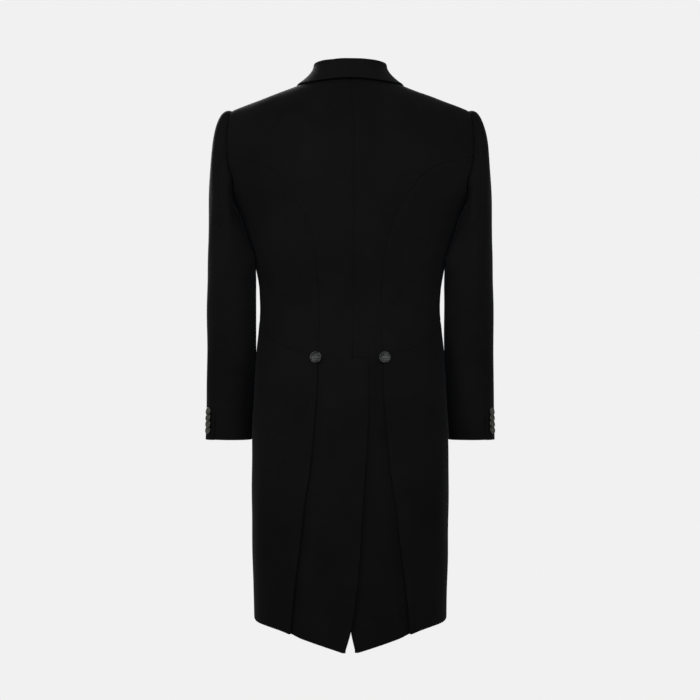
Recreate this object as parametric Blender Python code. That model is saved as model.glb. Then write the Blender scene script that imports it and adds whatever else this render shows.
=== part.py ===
# A black morning coat, filled out with no wearer, hanging from its neck.
# Metres, +Z up. The wearer faces -Y and their left side is +X.
# The origin is the middle of the neck opening, level with the seam that holds the collar.

import math

import bpy
import numpy as np

for old in list(bpy.data.objects):
    bpy.data.objects.remove(old, do_unlink=True)

# Cloth, seams and folds
CLOTH = 0.0016
COLLAR_CLOTH = 0.0022
SEAM_GAP = 0.0003
LAYER_GAP = 0.0004
FOLD_RADIUS = 0.0019
STEP = 1e-4

# Sections of the body from the hem up to the chest
# Columns: height, half width, side y, back y, front y
SECTIONS = (
    (-1.060, 0.1762, 0.004, 0.1130, -0.100),
    (-0.981, 0.1775, 0.004, 0.1140, -0.104),
    (-0.870, 0.1806, 0.003, 0.1150, -0.108),
    (-0.740, 0.1821, 0.001, 0.1170, -0.114),
    (-0.640, 0.1808, -0.001, 0.1160, -0.118),
    (-0.560, 0.1772, -0.004, 0.1100, -0.120),
    (-0.500, 0.1735, -0.006, 0.1010, -0.119),
    (-0.463, 0.1695, -0.008, 0.0940, -0.117),
    (-0.426, 0.1664, -0.009, 0.0900, -0.116),
    (-0.389, 0.1683, -0.009, 0.0915, -0.118),
    (-0.341, 0.1765, -0.008, 0.0970, -0.121),
    (-0.315, 0.1835, -0.007, 0.1010, -0.123),
    (-0.278, 0.1950, -0.006, 0.1070, -0.126),
    (-0.256, 0.2015, -0.005, 0.1100, -0.127),
    (-0.190, 0.2400, -0.005, 0.1180, -0.125),
)
BODY_SQUARENESS = 2.4

# Above the chest the cloth turns over to the shoulder ridge, and a level there is a length of turn
CHEST = -0.190
DOME_LENGTH = 0.250
DOME_SQUARENESS = 2.5
RIDGE_Y = -0.005
RIDGE_SLOPE = 0.3736
RIDGE_AT_NECK = 0.0242
RIDGE_ROUND = 0.020
NECK_HALF = 0.0720
SHOULDER_HALF = 0.2180

# The wearer's left armhole, seen from behind and from the front
# Columns: x, height
ARMHOLE_BACK = ((0.2225, -0.0750), (0.2245, -0.1100), (0.2210, -0.1470))
ARMHOLE_UNDER = ((0.2210, -0.1470), (0.2150, -0.1850), (0.2085, -0.2220))
ARMHOLE_FRONT = ((0.2070, -0.0900), (0.1960, -0.1350), (0.1900, -0.1800), (0.1910, -0.2250))
ARMHOLE_BOTTOM = -0.2560
ARMHOLE_STEPS = {"back": 7, "under": 6, "front": 11}
UNDERARM_TURN = math.radians(90.0)

# Seams and edges behind, seen from behind, from the top down
SIDE_SEAM = (
    (0.2210, -0.1470), (0.1860, -0.1580), (0.1440, -0.1770), (0.1110, -0.2110), (0.0895, -0.2450),
    (0.0765, -0.2740), (0.0655, -0.3120), (0.0590, -0.3780), (0.0555, -0.4480), (0.0600, -0.5120),
)
PLEAT_LINE = (
    (0.0600, -0.5120), (0.0600, -0.5600), (0.0650, -0.6300), (0.0720, -0.7100), (0.0830, -0.7830),
    (0.0925, -0.8650), (0.1030, -0.9500), (0.1090, -1.0120),
)
# Columns: height, x
CENTRE_SEAM = ((-0.5140, -0.0030), (-0.3800, -0.0070), (-0.1000, -0.0070), (-0.0200, -0.0010))
CENTRE_AT_ARMHOLE = -0.1300
VENT_TOP = -0.5140
VENT_FOLD_AT_HEM = 0.0140
VENT_EDGE = (
    (-0.0335, -0.5140), (-0.0335, -0.5600), (-0.0320, -0.6300), (-0.0265, -0.7200), (-0.0210, -0.8000),
    (-0.0170, -0.8750), (-0.0105, -0.9400), (-0.0010, -1.0060), (0.0085, -1.0400),
)
VENT_UNDER = ((0.0100, -0.5140), (0.0120, -0.8000), (0.0080, -0.9400), (-0.0010, -1.0060), (-0.0085, -1.0400))
HEM_CENTRE = -1.0435
VENT_STEP = CLOTH + 2 * LAYER_GAP
VENT_CLEAR = 0.0120
VENT_EASE = 0.0300

# Waist seam and cutaway front edge, as turns about the body in degrees
# Columns: turn, height
WAIST_SEAM = ((45.0, -0.4900), (62.0, -0.4680), (130.0, -0.4320), (175.0, -0.4320))
UNDERARM_WAIST_HEIGHT = -0.4420
WAIST_FRONT = -0.4320
FRONT_EDGE = ((160.0, -0.4800), (143.0, -0.5600), (126.0, -0.6500), (112.0, -0.7600), (102.0, -0.8700),
              (96.0, -0.9600), (93.0, -0.9900))
SKIRT_HEM = ((44.0, -1.0055), (54.0, -1.0005), (69.0, -0.9965))

# Pleat fold under the skirt's back edge, and the strip of the tail below it
PLEAT_RETURN = 0.0140
TAIL_UNDER = 0.0100
TAIL_SINK = 2.0 * FOLD_RADIUS + LAYER_GAP
TAIL_EASE = 0.0250

# Fronts and lapels: the left front laps over the right one
OVERLAP = 0.0150
TUCK = 0.0078
TUCK_HALF = 0.0300
TUCK_HEIGHTS = (-0.4700, -0.4400, -0.3150, -0.2600)
ROLL_BOTTOM = -0.4000
# Columns: down, width, rise, lift
LAPEL = (
    (0.000, 0.058, 0.0000, 0.0062), (0.130, 0.101, 0.0260, 0.0050), (0.260, 0.094, 0.0080, 0.0046),
    (0.460, 0.076, 0.0000, 0.0042), (0.680, 0.052, 0.0000, 0.0038), (0.860, 0.030, 0.0000, 0.0034),
    (1.000, 0.012, 0.0000, 0.0030),
)
LAPEL_START = 0.0030
LAPEL_CLEAR = 0.0014
LAPEL_ROLL = 0.15
LAPEL_FLAT = 0.75

# Collar from the centre back to the gorge. A turn over the shoulder is in degrees, 90 at the ridge
# Columns: seam x, seam turn, stand, outward, edge x, edge turn, edge lift
COLLAR = (
    (0.0000, 66.0, 0.0238, 0.0050, 0.0000, 54.0, 0.0092),
    (0.0260, 66.5, 0.0240, 0.0040, 0.0290, 54.5, 0.0092),
    (0.0500, 70.5, 0.0250, -0.0020, 0.0560, 61.0, 0.0080),
    (0.0670, 81.0, 0.0266, -0.0090, 0.0810, 71.0, 0.0068),
    (0.0720, 93.0, 0.0262, -0.0125, 0.0960, 91.0, 0.0058),
    (0.0705, 109.0, 0.0200, -0.0100, 0.1000, 107.0, 0.0066),
    (0.0640, 124.0, 0.0130, -0.0040, 0.0980, 122.0, 0.0070),
)
COLLAR_FOLD = 0.0032
COLLAR_BEND = 0.55
COLLAR_STEPS = 9

# Sleeve rings below the cap: the arm leans forward to the cuff
# Columns: height, centre x, centre y, half width, half depth
SLEEVE = (
    (-0.3000, 0.2260, -0.008, 0.0365, 0.0700),
    (-0.3220, 0.2229, -0.008, 0.0403, 0.0694),
    (-0.3450, 0.2204, -0.008, 0.0434, 0.0685),
    (-0.3650, 0.2193, -0.008, 0.0449, 0.0675),
    (-0.4200, 0.2196, -0.006, 0.0456, 0.0630),
    (-0.5000, 0.2197, -0.012, 0.0457, 0.0570),
    (-0.5800, 0.2226, -0.022, 0.0444, 0.0520),
    (-0.6665, 0.2268, -0.036, 0.0430, 0.0480),
)
SLEEVE_SQUARENESS = 2.3
# Columns: turn, aim x, aim y, aim z, out, down
CAP = (
    (0.0, 0.95, 0.00, 0.12, 0.140, 0.330),
    (90.0, 0.70, 0.40, -0.60, 0.080, 0.150),
    (180.0, 0.10, 0.00, -1.00, 0.016, 0.030),
    (270.0, 0.70, -0.40, -0.60, 0.080, 0.150),
    (360.0, 0.95, 0.00, 0.12, 0.140, 0.330),
)
CAP_ROWS = 8
ARM_ROWS = 11
HIND_SEAM = 6
FORE_SEAM = 17
HIND_TURN_AT_CUFF = 56.0
FORE_TURN_AT_CUFF = 235.0
SEAMS_TURNED = -0.5000
CAP_UNDER = (0.3, 0.8)
CUFF_VENT_TOP = -0.6070
CUFF_UNDER = 2
CUFF_STEP = CLOTH + LAYER_GAP
CUFF_STEP_AT_SEAM = 0.4 * CUFF_STEP

# Buttons
HIP_BUTTON = {"radius": 0.0107, "thick": 0.0042, "sides": 24}
HIP_BUTTON_AT = (0.0620, -0.5130)
CUFF_BUTTON = {"radius": 0.0071, "thick": 0.0026, "sides": 16}
CUFF_BUTTON_PITCH = 0.0115
CUFF_BUTTON_LOWEST = -0.6480
CUFF_BUTTON_TILT = math.radians(15.0)
CUFF_BUTTON_TURN = 40.0
FRONT_BUTTON = {"radius": 0.0107, "thick": 0.0042, "sides": 24}
FRONT_BUTTON_AT = (0.0000, -0.4165)
BUTTON_SEAT = 0.0003
# Columns: reach, height
BUTTON_PROFILE = (
    (0.00, 0.00), (0.86, 0.00), (1.00, 0.35), (1.00, 0.75),
    (0.90, 1.00), (0.74, 0.92), (0.60, 0.66), (0.00, 0.62),
)

# Steps of the grids
BACK_STEPS = 7
VENT_STEPS = 2
NECK_STEPS = 3
SEAM_ROWS = 11
TAIL_ROWS = 12
FORE_STEPS = 7
FRONT_ROWS = 1
LAPEL_ROWS = 12
LAPEL_STEPS = 6
CUFF_ROWS = 2


# Curves and shapes

def slopes_of(xs, ys):
    # Slopes for a smooth curve that never overshoots its points
    steps = [(ys[i + 1] - ys[i]) / (xs[i + 1] - xs[i]) for i in range(len(xs) - 1)]
    between = [2 * a * b / (a + b) if a * b > 0 else 0.0 for a, b in zip(steps, steps[1:])]
    return [steps[0], *between, steps[-1]]


def curve(table, value, column):
    # A value read from a table, whose first column rises
    xs = [row[0] for row in table]
    ys = [row[column] for row in table]
    slopes = slopes_of(xs, ys)
    value = min(max(value, xs[0]), xs[-1])
    i = max(j for j in range(len(xs) - 1) if xs[j] <= value)
    width = xs[i + 1] - xs[i]
    t = (value - xs[i]) / width
    near = (2 * t ** 3 - 3 * t ** 2 + 1) * ys[i] + (t ** 3 - 2 * t ** 2 + t) * width * slopes[i]
    return near + (3 * t ** 2 - 2 * t ** 3) * ys[i + 1] + (t ** 3 - t ** 2) * width * slopes[i + 1]


def ease(value, start, end):
    # 0 at the start, 1 at the end, smooth between
    t = min(max((value - start) / (end - start), 0.0), 1.0)
    return t * t * (3 - 2 * t)


def round_point(turn, squareness):
    # A point of a rounded square of half size 1: how far to the side, and how far back
    side, back = math.sin(turn), math.cos(turn)
    size = (abs(side) ** squareness + abs(back) ** squareness) ** (-1.0 / squareness)
    return side * size, back * size


def turn_of(side, squareness):
    side = min(max(side, -1.0), 1.0)
    return math.atan2(side, (1.0 - abs(side) ** squareness) ** (1.0 / squareness))


# The body's surface: turn 0 is the centre back and a right angle is the wearer's left side

def ridge_height(x):
    return RIDGE_AT_NECK - RIDGE_SLOPE * math.sqrt(x * x + RIDGE_ROUND ** 2)


def section_point(turn, height):
    side, back = round_point(turn, BODY_SQUARENESS)
    middle = curve(SECTIONS, height, 2)
    reach = curve(SECTIONS, height, 3 if back > 0 else 4) - middle
    return np.array([side * curve(SECTIONS, height, 1), middle + abs(back) * reach, height])


def dome_point(x, over):
    # Over the shoulder at one distance from the middle: a quarter turn is the ridge
    up, back = round_point(over, DOME_SQUARENESS)
    turn = turn_of(x / SECTIONS[-1][1], BODY_SQUARENESS)
    chest = section_point(turn if back > 0 else math.pi - turn, CHEST)
    height = CHEST + (ridge_height(x) - CHEST) * up
    return np.array([x, RIDGE_Y + abs(back) * (chest[1] - RIDGE_Y), height])


def body_point(turn, level):
    if level <= CHEST:
        return section_point(turn, level)
    over = (level - CHEST) / DOME_LENGTH * math.pi / 2
    x = section_point(turn, CHEST)[0]
    return dome_point(x, over if math.cos(turn) > 0 else math.pi - over)


def body_normal(turn, level):
    if level <= CHEST:
        across = body_point(turn + STEP, level) - body_point(turn - STEP, level)
        along = body_point(turn, level + STEP) - body_point(turn, level - STEP)
        normal = np.cross(across, along)
        outward = np.array([math.sin(turn), math.cos(turn), 0.0])
    else:
        x = section_point(turn, CHEST)[0]
        over = (level - CHEST) / DOME_LENGTH * math.pi / 2
        over = over if math.cos(turn) > 0 else math.pi - over
        across = dome_point(x + STEP, over) - dome_point(x - STEP, over)
        along = dome_point(x, over + STEP) - dome_point(x, over - STEP)
        normal = np.cross(across, along)
        outward = np.array([0.0, math.cos(over), math.sin(over)])
    normal = normal / np.linalg.norm(normal)
    return normal if normal @ outward > 0 else -normal


def behind(x, height=None):
    # Turn and level of a point seen from behind. With no height it is on the shoulder ridge
    if height is not None and height <= CHEST:
        return turn_of(x / curve(SECTIONS, height, 1), BODY_SQUARENESS), height
    turn = turn_of(x / SECTIONS[-1][1], BODY_SQUARENESS)
    if height is None:
        return turn, CHEST + DOME_LENGTH
    up = (height - CHEST) / (ridge_height(x) - CHEST)
    return turn, CHEST + turn_of(up, DOME_SQUARENESS) / (math.pi / 2) * DOME_LENGTH


def before(x, height=None):
    turn, level = behind(x, height)
    return math.pi - turn, level


def over_shoulder(x, degrees):
    # Turn and level of a point at a turn over the shoulder, below 90 degrees behind the ridge
    turn = turn_of(x / SECTIONS[-1][1], BODY_SQUARENESS)
    if degrees <= 90:
        return turn, CHEST + degrees / 90 * DOME_LENGTH
    return math.pi - turn, CHEST + (180 - degrees) / 90 * DOME_LENGTH


def even(points, steps):
    # Even steps along a smooth curve on the body through a few turns and levels
    spots = [body_point(*p) for p in points]
    marks = [0.0]
    for a, b in zip(spots, spots[1:]):
        marks.append(marks[-1] + float(np.linalg.norm(b - a)))
    rows = [(mark, *point) for mark, point in zip(marks, points)]
    fine = [[curve(rows, marks[-1] * k / 120, c) for c in (1, 2)] for k in range(121)]
    places = [body_point(*p) for p in fine]
    along = np.concatenate([[0.0], np.cumsum(np.linalg.norm(np.diff(places, axis=0), axis=1))])
    wanted = np.linspace(0.0, along[-1], steps + 1)
    fine = np.array(fine)
    return np.array([[np.interp(w, along, fine[:, c]) for c in (0, 1)] for w in wanted])


def patch_between(top, bottom, left, right):
    # A patch of turns and levels between four edges
    down = np.linspace(0.0, 1.0, len(left))[:, None, None]
    across = np.linspace(0.0, 1.0, len(top))[None, :, None]
    upper = (1 - across) * top[0] + across * top[-1]
    lower = (1 - across) * bottom[0] + across * bottom[-1]
    ends = (1 - down) * top[None] + down * bottom[None]
    sides = (1 - across) * left[:, None] + across * right[:, None]
    return ends + sides - (1 - down) * upper - down * lower


# Solids

def finish_of(name, colour, roughness):
    made = bpy.data.materials.new(name)
    made.use_nodes = True
    shader = made.node_tree.nodes["Principled BSDF"]
    shader.inputs["Base Color"].default_value = (*colour, 1.0)
    shader.inputs["Roughness"].default_value = roughness
    shader.inputs["Metallic"].default_value = 0.0
    return made


def volume_of(mesh):
    total = 0.0
    for face in mesh.polygons:
        corners = [mesh.vertices[v].co for v in face.vertices]
        for a, b in zip(corners[1:], corners[2:]):
            total += corners[0].dot(a.cross(b))
    return total / 6


def solid(name, points, faces, finish):
    mesh = bpy.data.meshes.new(name)
    mesh.from_pydata([tuple(map(float, p)) for p in points], [], faces)
    mesh.update()
    if volume_of(mesh) < 0:
        mesh.flip_normals()
    mesh.shade_smooth()
    mesh.set_sharp_from_angle(angle=math.radians(50.0))
    mesh.materials.append(finish)
    made = bpy.data.objects.new(name, mesh)
    bpy.context.scene.collection.objects.link(made)
    return made


def wall(name, outer, inner, finish, kept=None):
    # One closed solid between two grids of points. Only the kept cells are made, with a rim round
    # each open edge
    rows, columns = outer.shape[:2]
    if kept is None:
        kept = np.ones((rows - 1, columns - 1), bool)
    points = []
    numbers = {}

    def corner(skin, i, j):
        spot = (skin, i, j)
        if spot not in numbers:
            numbers[spot] = len(points)
            points.append((outer, inner)[skin][i, j])
        return numbers[spot]

    faces = []
    for i, j in zip(*np.nonzero(kept)):
        ring = ((i, j), (i, j + 1), (i + 1, j + 1), (i + 1, j))
        faces.append([corner(0, *p) for p in ring])
        faces.append([corner(1, *p) for p in reversed(ring)])
        for k, (ni, nj) in enumerate(((i - 1, j), (i, j + 1), (i + 1, j), (i, j - 1))):
            if not (0 <= ni < rows - 1 and 0 <= nj < columns - 1 and kept[ni, nj]):
                a, b = ring[k], ring[(k + 1) % 4]
                faces.append([corner(0, *b), corner(0, *a), corner(1, *a), corner(1, *b)])
    return solid(name, points, faces, finish)


def set_in(grid, kept):
    # Draws the border of the kept part of a grid in by half a seam's gap
    copy = grid.copy()

    def draw(i, j, ni, nj):
        step = copy[ni, nj] - copy[i, j]
        grid[i, j] += step / np.linalg.norm(step) * (SEAM_GAP / 2)

    rows, columns = grid.shape[:2]
    for i in range(rows):
        used = np.nonzero(kept[max(i - 1, 0)])[0]
        draw(i, used[0], i, used[0] + 1)
        draw(i, used[-1] + 1, i, used[-1])
    for j in range(columns):
        draw(0, j, 1, j)
        draw(rows - 1, j, rows - 2, j)


def tuck(side, point):
    # How far the right front is tucked in below the left one at the waist
    if side > 0 or point[1] > 0:
        return 0.0
    low, low_full, high_full, high = TUCK_HEIGHTS
    upright = ease(point[2], low, low_full) * (1 - ease(point[2], high_full, high))
    return TUCK * upright * (1 - ease(abs(point[0]), TUCK_HALF, 3 * TUCK_HALF))


def on_body(patch, side, lift=None, kept=None):
    # Outer points and normals of a patch, on the wearer's left, drawn in along its border
    outer = np.array([[body_point(*p) for p in row] for row in patch])
    normals = np.array([[body_normal(*p) for p in row] for row in patch])
    rows, columns = outer.shape[:2]
    set_in(outer, np.ones((rows - 1, columns - 1), bool) if kept is None else kept)
    raised = np.zeros((rows, columns)) if lift is None else lift.copy()
    for i, j in np.ndindex(rows, columns):
        raised[i, j] -= tuck(side, outer[i, j])
    return outer + normals * raised[:, :, None], normals


def to_side(grid, side):
    # The wearer's right side is the left one with X turned round
    return grid * np.array([side, 1.0, 1.0])


def named(stem, side):
    return f"{stem}_{'left' if side > 0 else 'right'}"


# Edges that two pieces share, on the wearer's left

def armhole(part):
    bottom = (UNDERARM_TURN, ARMHOLE_BOTTOM)
    if part == "back":
        return even([behind(SHOULDER_HALF), *(behind(*p) for p in ARMHOLE_BACK)], ARMHOLE_STEPS[part])
    if part == "under":
        return even([*(behind(*p) for p in ARMHOLE_UNDER), bottom], ARMHOLE_STEPS[part])
    return even([before(SHOULDER_HALF), *(before(*p) for p in ARMHOLE_FRONT), bottom], ARMHOLE_STEPS[part])


def line(table, steps):
    return even([behind(x, z) for x, z in table], steps)


def neck_points(first, last):
    return [over_shoulder(row[0], row[1]) for row in COLLAR[first:last]]


HIP = behind(*SIDE_SEAM[-1])
UNDERARM_WAIST = (UNDERARM_TURN, UNDERARM_WAIST_HEIGHT)
FRONT_WAIST = before(-OVERLAP, WAIST_FRONT)
UNDERARM_TOP = (UNDERARM_TURN, ARMHOLE_BOTTOM)


def waist_seam(start, end, steps):
    # A stretch of the waist seam, from one of its points round to another
    inside = [(math.radians(t), z) for t, z in WAIST_SEAM if start[0] + 0.01 < math.radians(t) < end[0] - 0.01]
    return even([start, *inside, end], steps)


def underarm_seam():
    return even([UNDERARM_TOP, UNDERARM_WAIST], SEAM_ROWS)


def roll_line(steps):
    # Straight from the end of the collar to the waist button, seen from the front
    top = body_point(*over_shoulder(*COLLAR[-1][:2]))
    heights = np.linspace(top[2], ROLL_BOTTOM, 5)
    return even([before(x, z) for x, z in zip(np.linspace(top[0], -OVERLAP, 5), heights)], steps)


def cloth_per_turn(turn, level):
    # Metres of cloth for each radian of turn
    return float(np.linalg.norm(body_point(turn + STEP, level) - body_point(turn - STEP, level))) / (2 * STEP)


def moved(point, distance):
    # A point of the body moved round it by a distance, towards the front
    return point[0] + distance / cloth_per_turn(*point), point[1]


# Pieces of the body

def centre_x(height, side):
    # The centre back seam lies a little to the wearer's right, and the tails part below the vent
    if height > VENT_TOP:
        return side * curve(CENTRE_SEAM, height, 1)
    down = (height - VENT_TOP) / (HEM_CENTRE - VENT_TOP)
    return side * CENTRE_SEAM[0][1] * (1 - down) + VENT_FOLD_AT_HEM * down


def vent_x(height, side):
    # The free edge at the centre: the left tail's overlap, or the right tail's underlay
    table = [(z, x) for x, z in reversed(VENT_EDGE if side > 0 else VENT_UNDER)]
    return side * curve(table, height, 1)


def back(side, finish):
    # From the collar to the hem in one: shoulder, armhole, side-body seam and pleat
    outside = np.vstack([armhole("back"), line(SIDE_SEAM, SEAM_ROWS)[1:], line(PLEAT_LINE, TAIL_ROWS)[1:]])
    hip = ARMHOLE_STEPS["back"] + SEAM_ROWS
    nape = over_shoulder(*COLLAR[0][:2])[1]
    levels = [nape]
    for end, steps in ((CENTRE_AT_ARMHOLE, ARMHOLE_STEPS["back"]), (VENT_TOP, SEAM_ROWS), (HEM_CENTRE, TAIL_ROWS)):
        levels.extend(np.linspace(levels[-1], end, steps + 1)[1:])
    heights = [body_point(0.0, level)[2] for level in levels]
    turns = [behind(centre_x(z, side), min(z, CHEST))[0] for z in heights]
    centre = np.array(list(zip(turns, levels)))
    neck = even([tuple(centre[0]), *neck_points(1, 4), behind(NECK_HALF)], NECK_STEPS)
    ridge = [behind(x) for x in np.linspace(NECK_HALF, SHOULDER_HALF, BACK_STEPS - NECK_STEPS + 1)]
    hem = even([centre[-1], outside[-1]], BACK_STEPS)
    main = patch_between(np.vstack([neck, ridge[1:]]), hem, centre, outside)
    rows = len(levels)
    turns = [behind(vent_x(min(z, VENT_TOP), side), min(z, CHEST))[0] for z in heights]
    vent = np.array(list(zip(turns, levels)))
    middle = (vent + centre) / 2
    under = np.array([moved(p, TAIL_UNDER) for p in outside])
    patch = np.concatenate([vent[:, None], middle[:, None], main, under[:, None]], axis=1)
    kept = np.ones((rows - 1, patch.shape[1] - 1), bool)
    kept[:hip, :VENT_STEPS] = False
    kept[:hip + 1, -1:] = False
    lift = np.zeros((rows, patch.shape[1]))
    for i in range(hip + 1, rows):
        edge = body_point(*outside[i])
        for j in range(VENT_STEPS, patch.shape[1]):
            near = np.linalg.norm(body_point(*patch[i, j]) - edge) if j < patch.shape[1] - 1 else 0.0
            lift[i, j] -= TAIL_SINK * (1 - ease(near, 0.0, TAIL_EASE))
    if side < 0:
        for i in range(hip, rows):
            reach = -curve([(z, x) for x, z in reversed(VENT_EDGE)], heights[i], 1)
            for j in range(patch.shape[1]):
                x = body_point(*patch[i, j])[0]
                lift[i, j] -= VENT_STEP * (1 - ease(x, reach + VENT_CLEAR, reach + VENT_EASE))
    outer, normals = on_body(patch, side, lift, kept)
    wall(named("back", side), to_side(outer, side), to_side(outer - normals * CLOTH, side), finish, kept)


def sidebody(side, finish):
    # Between the side-body seam and the underarm seam, from the armhole down to the waist seam
    bottom = waist_seam(HIP, UNDERARM_WAIST, ARMHOLE_STEPS["under"])
    patch = patch_between(armhole("under"), bottom, line(SIDE_SEAM, SEAM_ROWS), underarm_seam())
    outer, normals = on_body(patch, side)
    wall(named("sidebody", side), to_side(outer, side), to_side(outer - normals * CLOTH, side), finish)


def forepart(side, finish):
    # From the shoulder to the waist seam, with its front edge along the neck and the lapel's roll line
    neck = even([before(NECK_HALF), *neck_points(-2, None)], NECK_STEPS)
    rows = ARMHOLE_STEPS["front"] + SEAM_ROWS
    roll = roll_line(rows - NECK_STEPS - FRONT_ROWS)
    front = even([tuple(roll[-1]), FRONT_WAIST], FRONT_ROWS)
    inside = np.vstack([neck, roll[1:], front[1:]])
    outside = np.vstack([armhole("front"), underarm_seam()[1:]])
    top = np.array([before(x) for x in np.linspace(NECK_HALF, SHOULDER_HALF, FORE_STEPS + 1)])
    bottom = waist_seam(UNDERARM_WAIST, FRONT_WAIST, FORE_STEPS)[::-1]
    outer, normals = on_body(patch_between(top, bottom, inside, outside), side)
    wall(named("forepart", side), to_side(outer, side), to_side(outer - normals * CLOTH, side), finish)


def skirt(side, finish):
    # From the waist seam to the hem, with a folded pleat edge behind and a cutaway edge in front
    pleat = line(PLEAT_LINE, TAIL_ROWS)
    left = np.array([moved(p, FOLD_RADIUS) for p in pleat])
    behind_arm = waist_seam(HIP, UNDERARM_WAIST, ARMHOLE_STEPS["under"])
    top = np.vstack([behind_arm, waist_seam(UNDERARM_WAIST, FRONT_WAIST, FORE_STEPS)[1:]])
    top[0] = left[0]
    front = even([FRONT_WAIST, *((math.radians(t), z) for t, z in FRONT_EDGE)], TAIL_ROWS)
    hem = [(math.radians(t), z) for t, z in SKIRT_HEM]
    bottom = even([tuple(left[-1]), *hem, tuple(front[-1])], len(top) - 1)
    outer, normals = on_body(patch_between(top, bottom, left, front), side)
    inner = outer - normals * CLOTH
    fold_outer, fold_inner = [], []
    for i, edge in enumerate(pleat):
        start, first = body_point(*edge), body_point(*left[i])
        shift = outer[i, 0] - first
        along = (first - start) / np.linalg.norm(first - start)
        out = normals[i, 0]
        outer_row, inner_row = [], []
        for reach in (PLEAT_RETURN, PLEAT_RETURN / 2):
            spot = moved(edge, reach)
            point = body_point(*spot) + shift
            down = body_normal(*spot)
            outer_row.append(point - down * 2 * FOLD_RADIUS)
            inner_row.append(point - down * (2 * FOLD_RADIUS - CLOTH))
        for degrees in (180, 135, 90, 45):
            turn = math.radians(degrees)
            for radius, row in ((FOLD_RADIUS, outer_row), (FOLD_RADIUS - CLOTH, inner_row)):
                reach = FOLD_RADIUS - radius * math.sin(turn)
                depth = FOLD_RADIUS - radius * math.cos(turn)
                row.append(start + shift + along * reach - out * depth)
        fold_outer.append(outer_row)
        fold_inner.append(inner_row)
    outer = np.concatenate([np.array(fold_outer), outer], axis=1)
    inner = np.concatenate([np.array(fold_inner), inner], axis=1)
    wall(named("skirt", side), to_side(outer, side), to_side(inner, side), finish)


def lapel(side, finish):
    # A peak lapel that lies on the forepart, out from the roll line
    roll = roll_line(LAPEL_ROWS)
    patch = np.zeros((LAPEL_ROWS + 1, LAPEL_STEPS + 1, 2))
    lift = np.zeros(patch.shape[:2])
    for i, (turn, level) in enumerate(roll):
        down = i / LAPEL_ROWS
        level -= LAPEL_START * (1 - down)
        width, rise, high = (curve(LAPEL, down, c) for c in (1, 2, 3))
        tip = moved((turn, level), -width)
        for j in range(LAPEL_STEPS + 1):
            u = j / LAPEL_STEPS
            patch[i, j] = turn + (tip[0] - turn) * u, level + rise * u ** 2
            low = CLOTH + LAPEL_CLEAR
            lift[i, j] = low + (high - low) * min(1.0, u / LAPEL_ROLL) * (1 - ease(u, LAPEL_FLAT, 1.0))
    outer, normals = on_body(patch, side, lift)
    wall(named("lapel", side), to_side(outer, side), to_side(outer - normals * CLOTH, side), finish)


# Collar

def collar_section(place, side):
    # The middle line of the collar's cloth at one place along the neck: stand, fold and fall
    rows = [(k, *row) for k, row in enumerate(COLLAR)]
    seam_x, seam_turn, stand, outward, edge_x, edge_turn, edge_lift = (
        curve(rows, place * (len(COLLAR) - 1), c) for c in range(1, 8))
    seam_at = over_shoulder(seam_x, seam_turn)
    edge_at = over_shoulder(edge_x, edge_turn)
    seam = body_point(*seam_at)
    edge = body_point(*edge_at) + body_normal(*edge_at) * (edge_lift - COLLAR_CLOTH / 2)
    out = edge - seam
    out[2] = 0.0
    out /= np.linalg.norm(out)
    up = np.array([0.0, 0.0, 1.0])
    top = seam + up * stand + out * outward
    rise = (top - seam) / np.linalg.norm(top - seam)
    foot = seam + rise * (COLLAR_CLOTH / 2)
    middle = top + out * COLLAR_FOLD
    line_points = [foot, (foot + top) / 2]
    for degrees in (180, 135, 90, 45, 0):
        turn = math.radians(degrees)
        line_points.append(middle + out * COLLAR_FOLD * math.cos(turn) + up * COLLAR_FOLD * math.sin(turn))
    last = line_points[-1]
    bend = last - up * min(np.linalg.norm(edge - last), last[2] - edge[2]) * COLLAR_BEND
    for t in (1 / 3, 2 / 3, 1.0):
        line_points.append((1 - t) ** 2 * last + 2 * t * (1 - t) * bend + t * t * edge)
    return to_side(np.array(line_points), side)


def collar(finish):
    places = [k / COLLAR_STEPS for k in range(COLLAR_STEPS + 1)]
    sections = [collar_section(p, -1) for p in reversed(places[1:])] + [collar_section(p, 1) for p in places]
    middle = np.array(sections)
    along = np.gradient(middle, axis=0)
    over = np.gradient(middle, axis=1)
    normals = np.cross(along, over)
    normals /= np.linalg.norm(normals, axis=2)[:, :, None]
    wall("collar", middle + normals * COLLAR_CLOTH / 2, middle - normals * COLLAR_CLOTH / 2, finish)


# Sleeves

def armhole_loop():
    # Once round the wearer's left armhole from the shoulder, down behind and up in front
    edge = np.vstack([armhole("back"), armhole("under")[1:], armhole("front")[::-1][1:-1]])
    points = np.array([body_point(*p) for p in edge])
    return points, np.array([body_normal(*p) for p in edge])


def loop_turns(points):
    # The turn of each point of the armhole about its middle: 0 above, a right angle behind
    low, high = points.min(axis=0), points.max(axis=0)
    middle, half = (low + high) / 2, (high - low) / 2
    spots = (points - middle) / half
    turns = np.arctan2(spots[:, 1], spots[:, 2]) % (2 * math.pi)
    turns[0] = 0.0
    return turns


def sleeve_ring(turn, height):
    out, back = round_point(math.pi / 2 - turn, SLEEVE_SQUARENESS)
    x = curve(SLEEVE[::-1], height, 1) + out * curve(SLEEVE[::-1], height, 3)
    y = curve(SLEEVE[::-1], height, 2) + back * curve(SLEEVE[::-1], height, 4)
    return np.array([x, y, height])


def sleeve_turns(turns, height):
    # Lower down, the seams turn to their places at the cuff
    marks = ((0, 0.0), (HIND_SEAM, HIND_TURN_AT_CUFF), (FORE_SEAM, FORE_TURN_AT_CUFF), (len(turns), 360.0))
    at_cuff = np.radians([np.interp(k, *zip(*marks)) for k in range(len(turns))])
    blend = ease(height, SLEEVE[0][0], SEAMS_TURNED)
    return turns * (1 - blend) + at_cuff * blend


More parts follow.
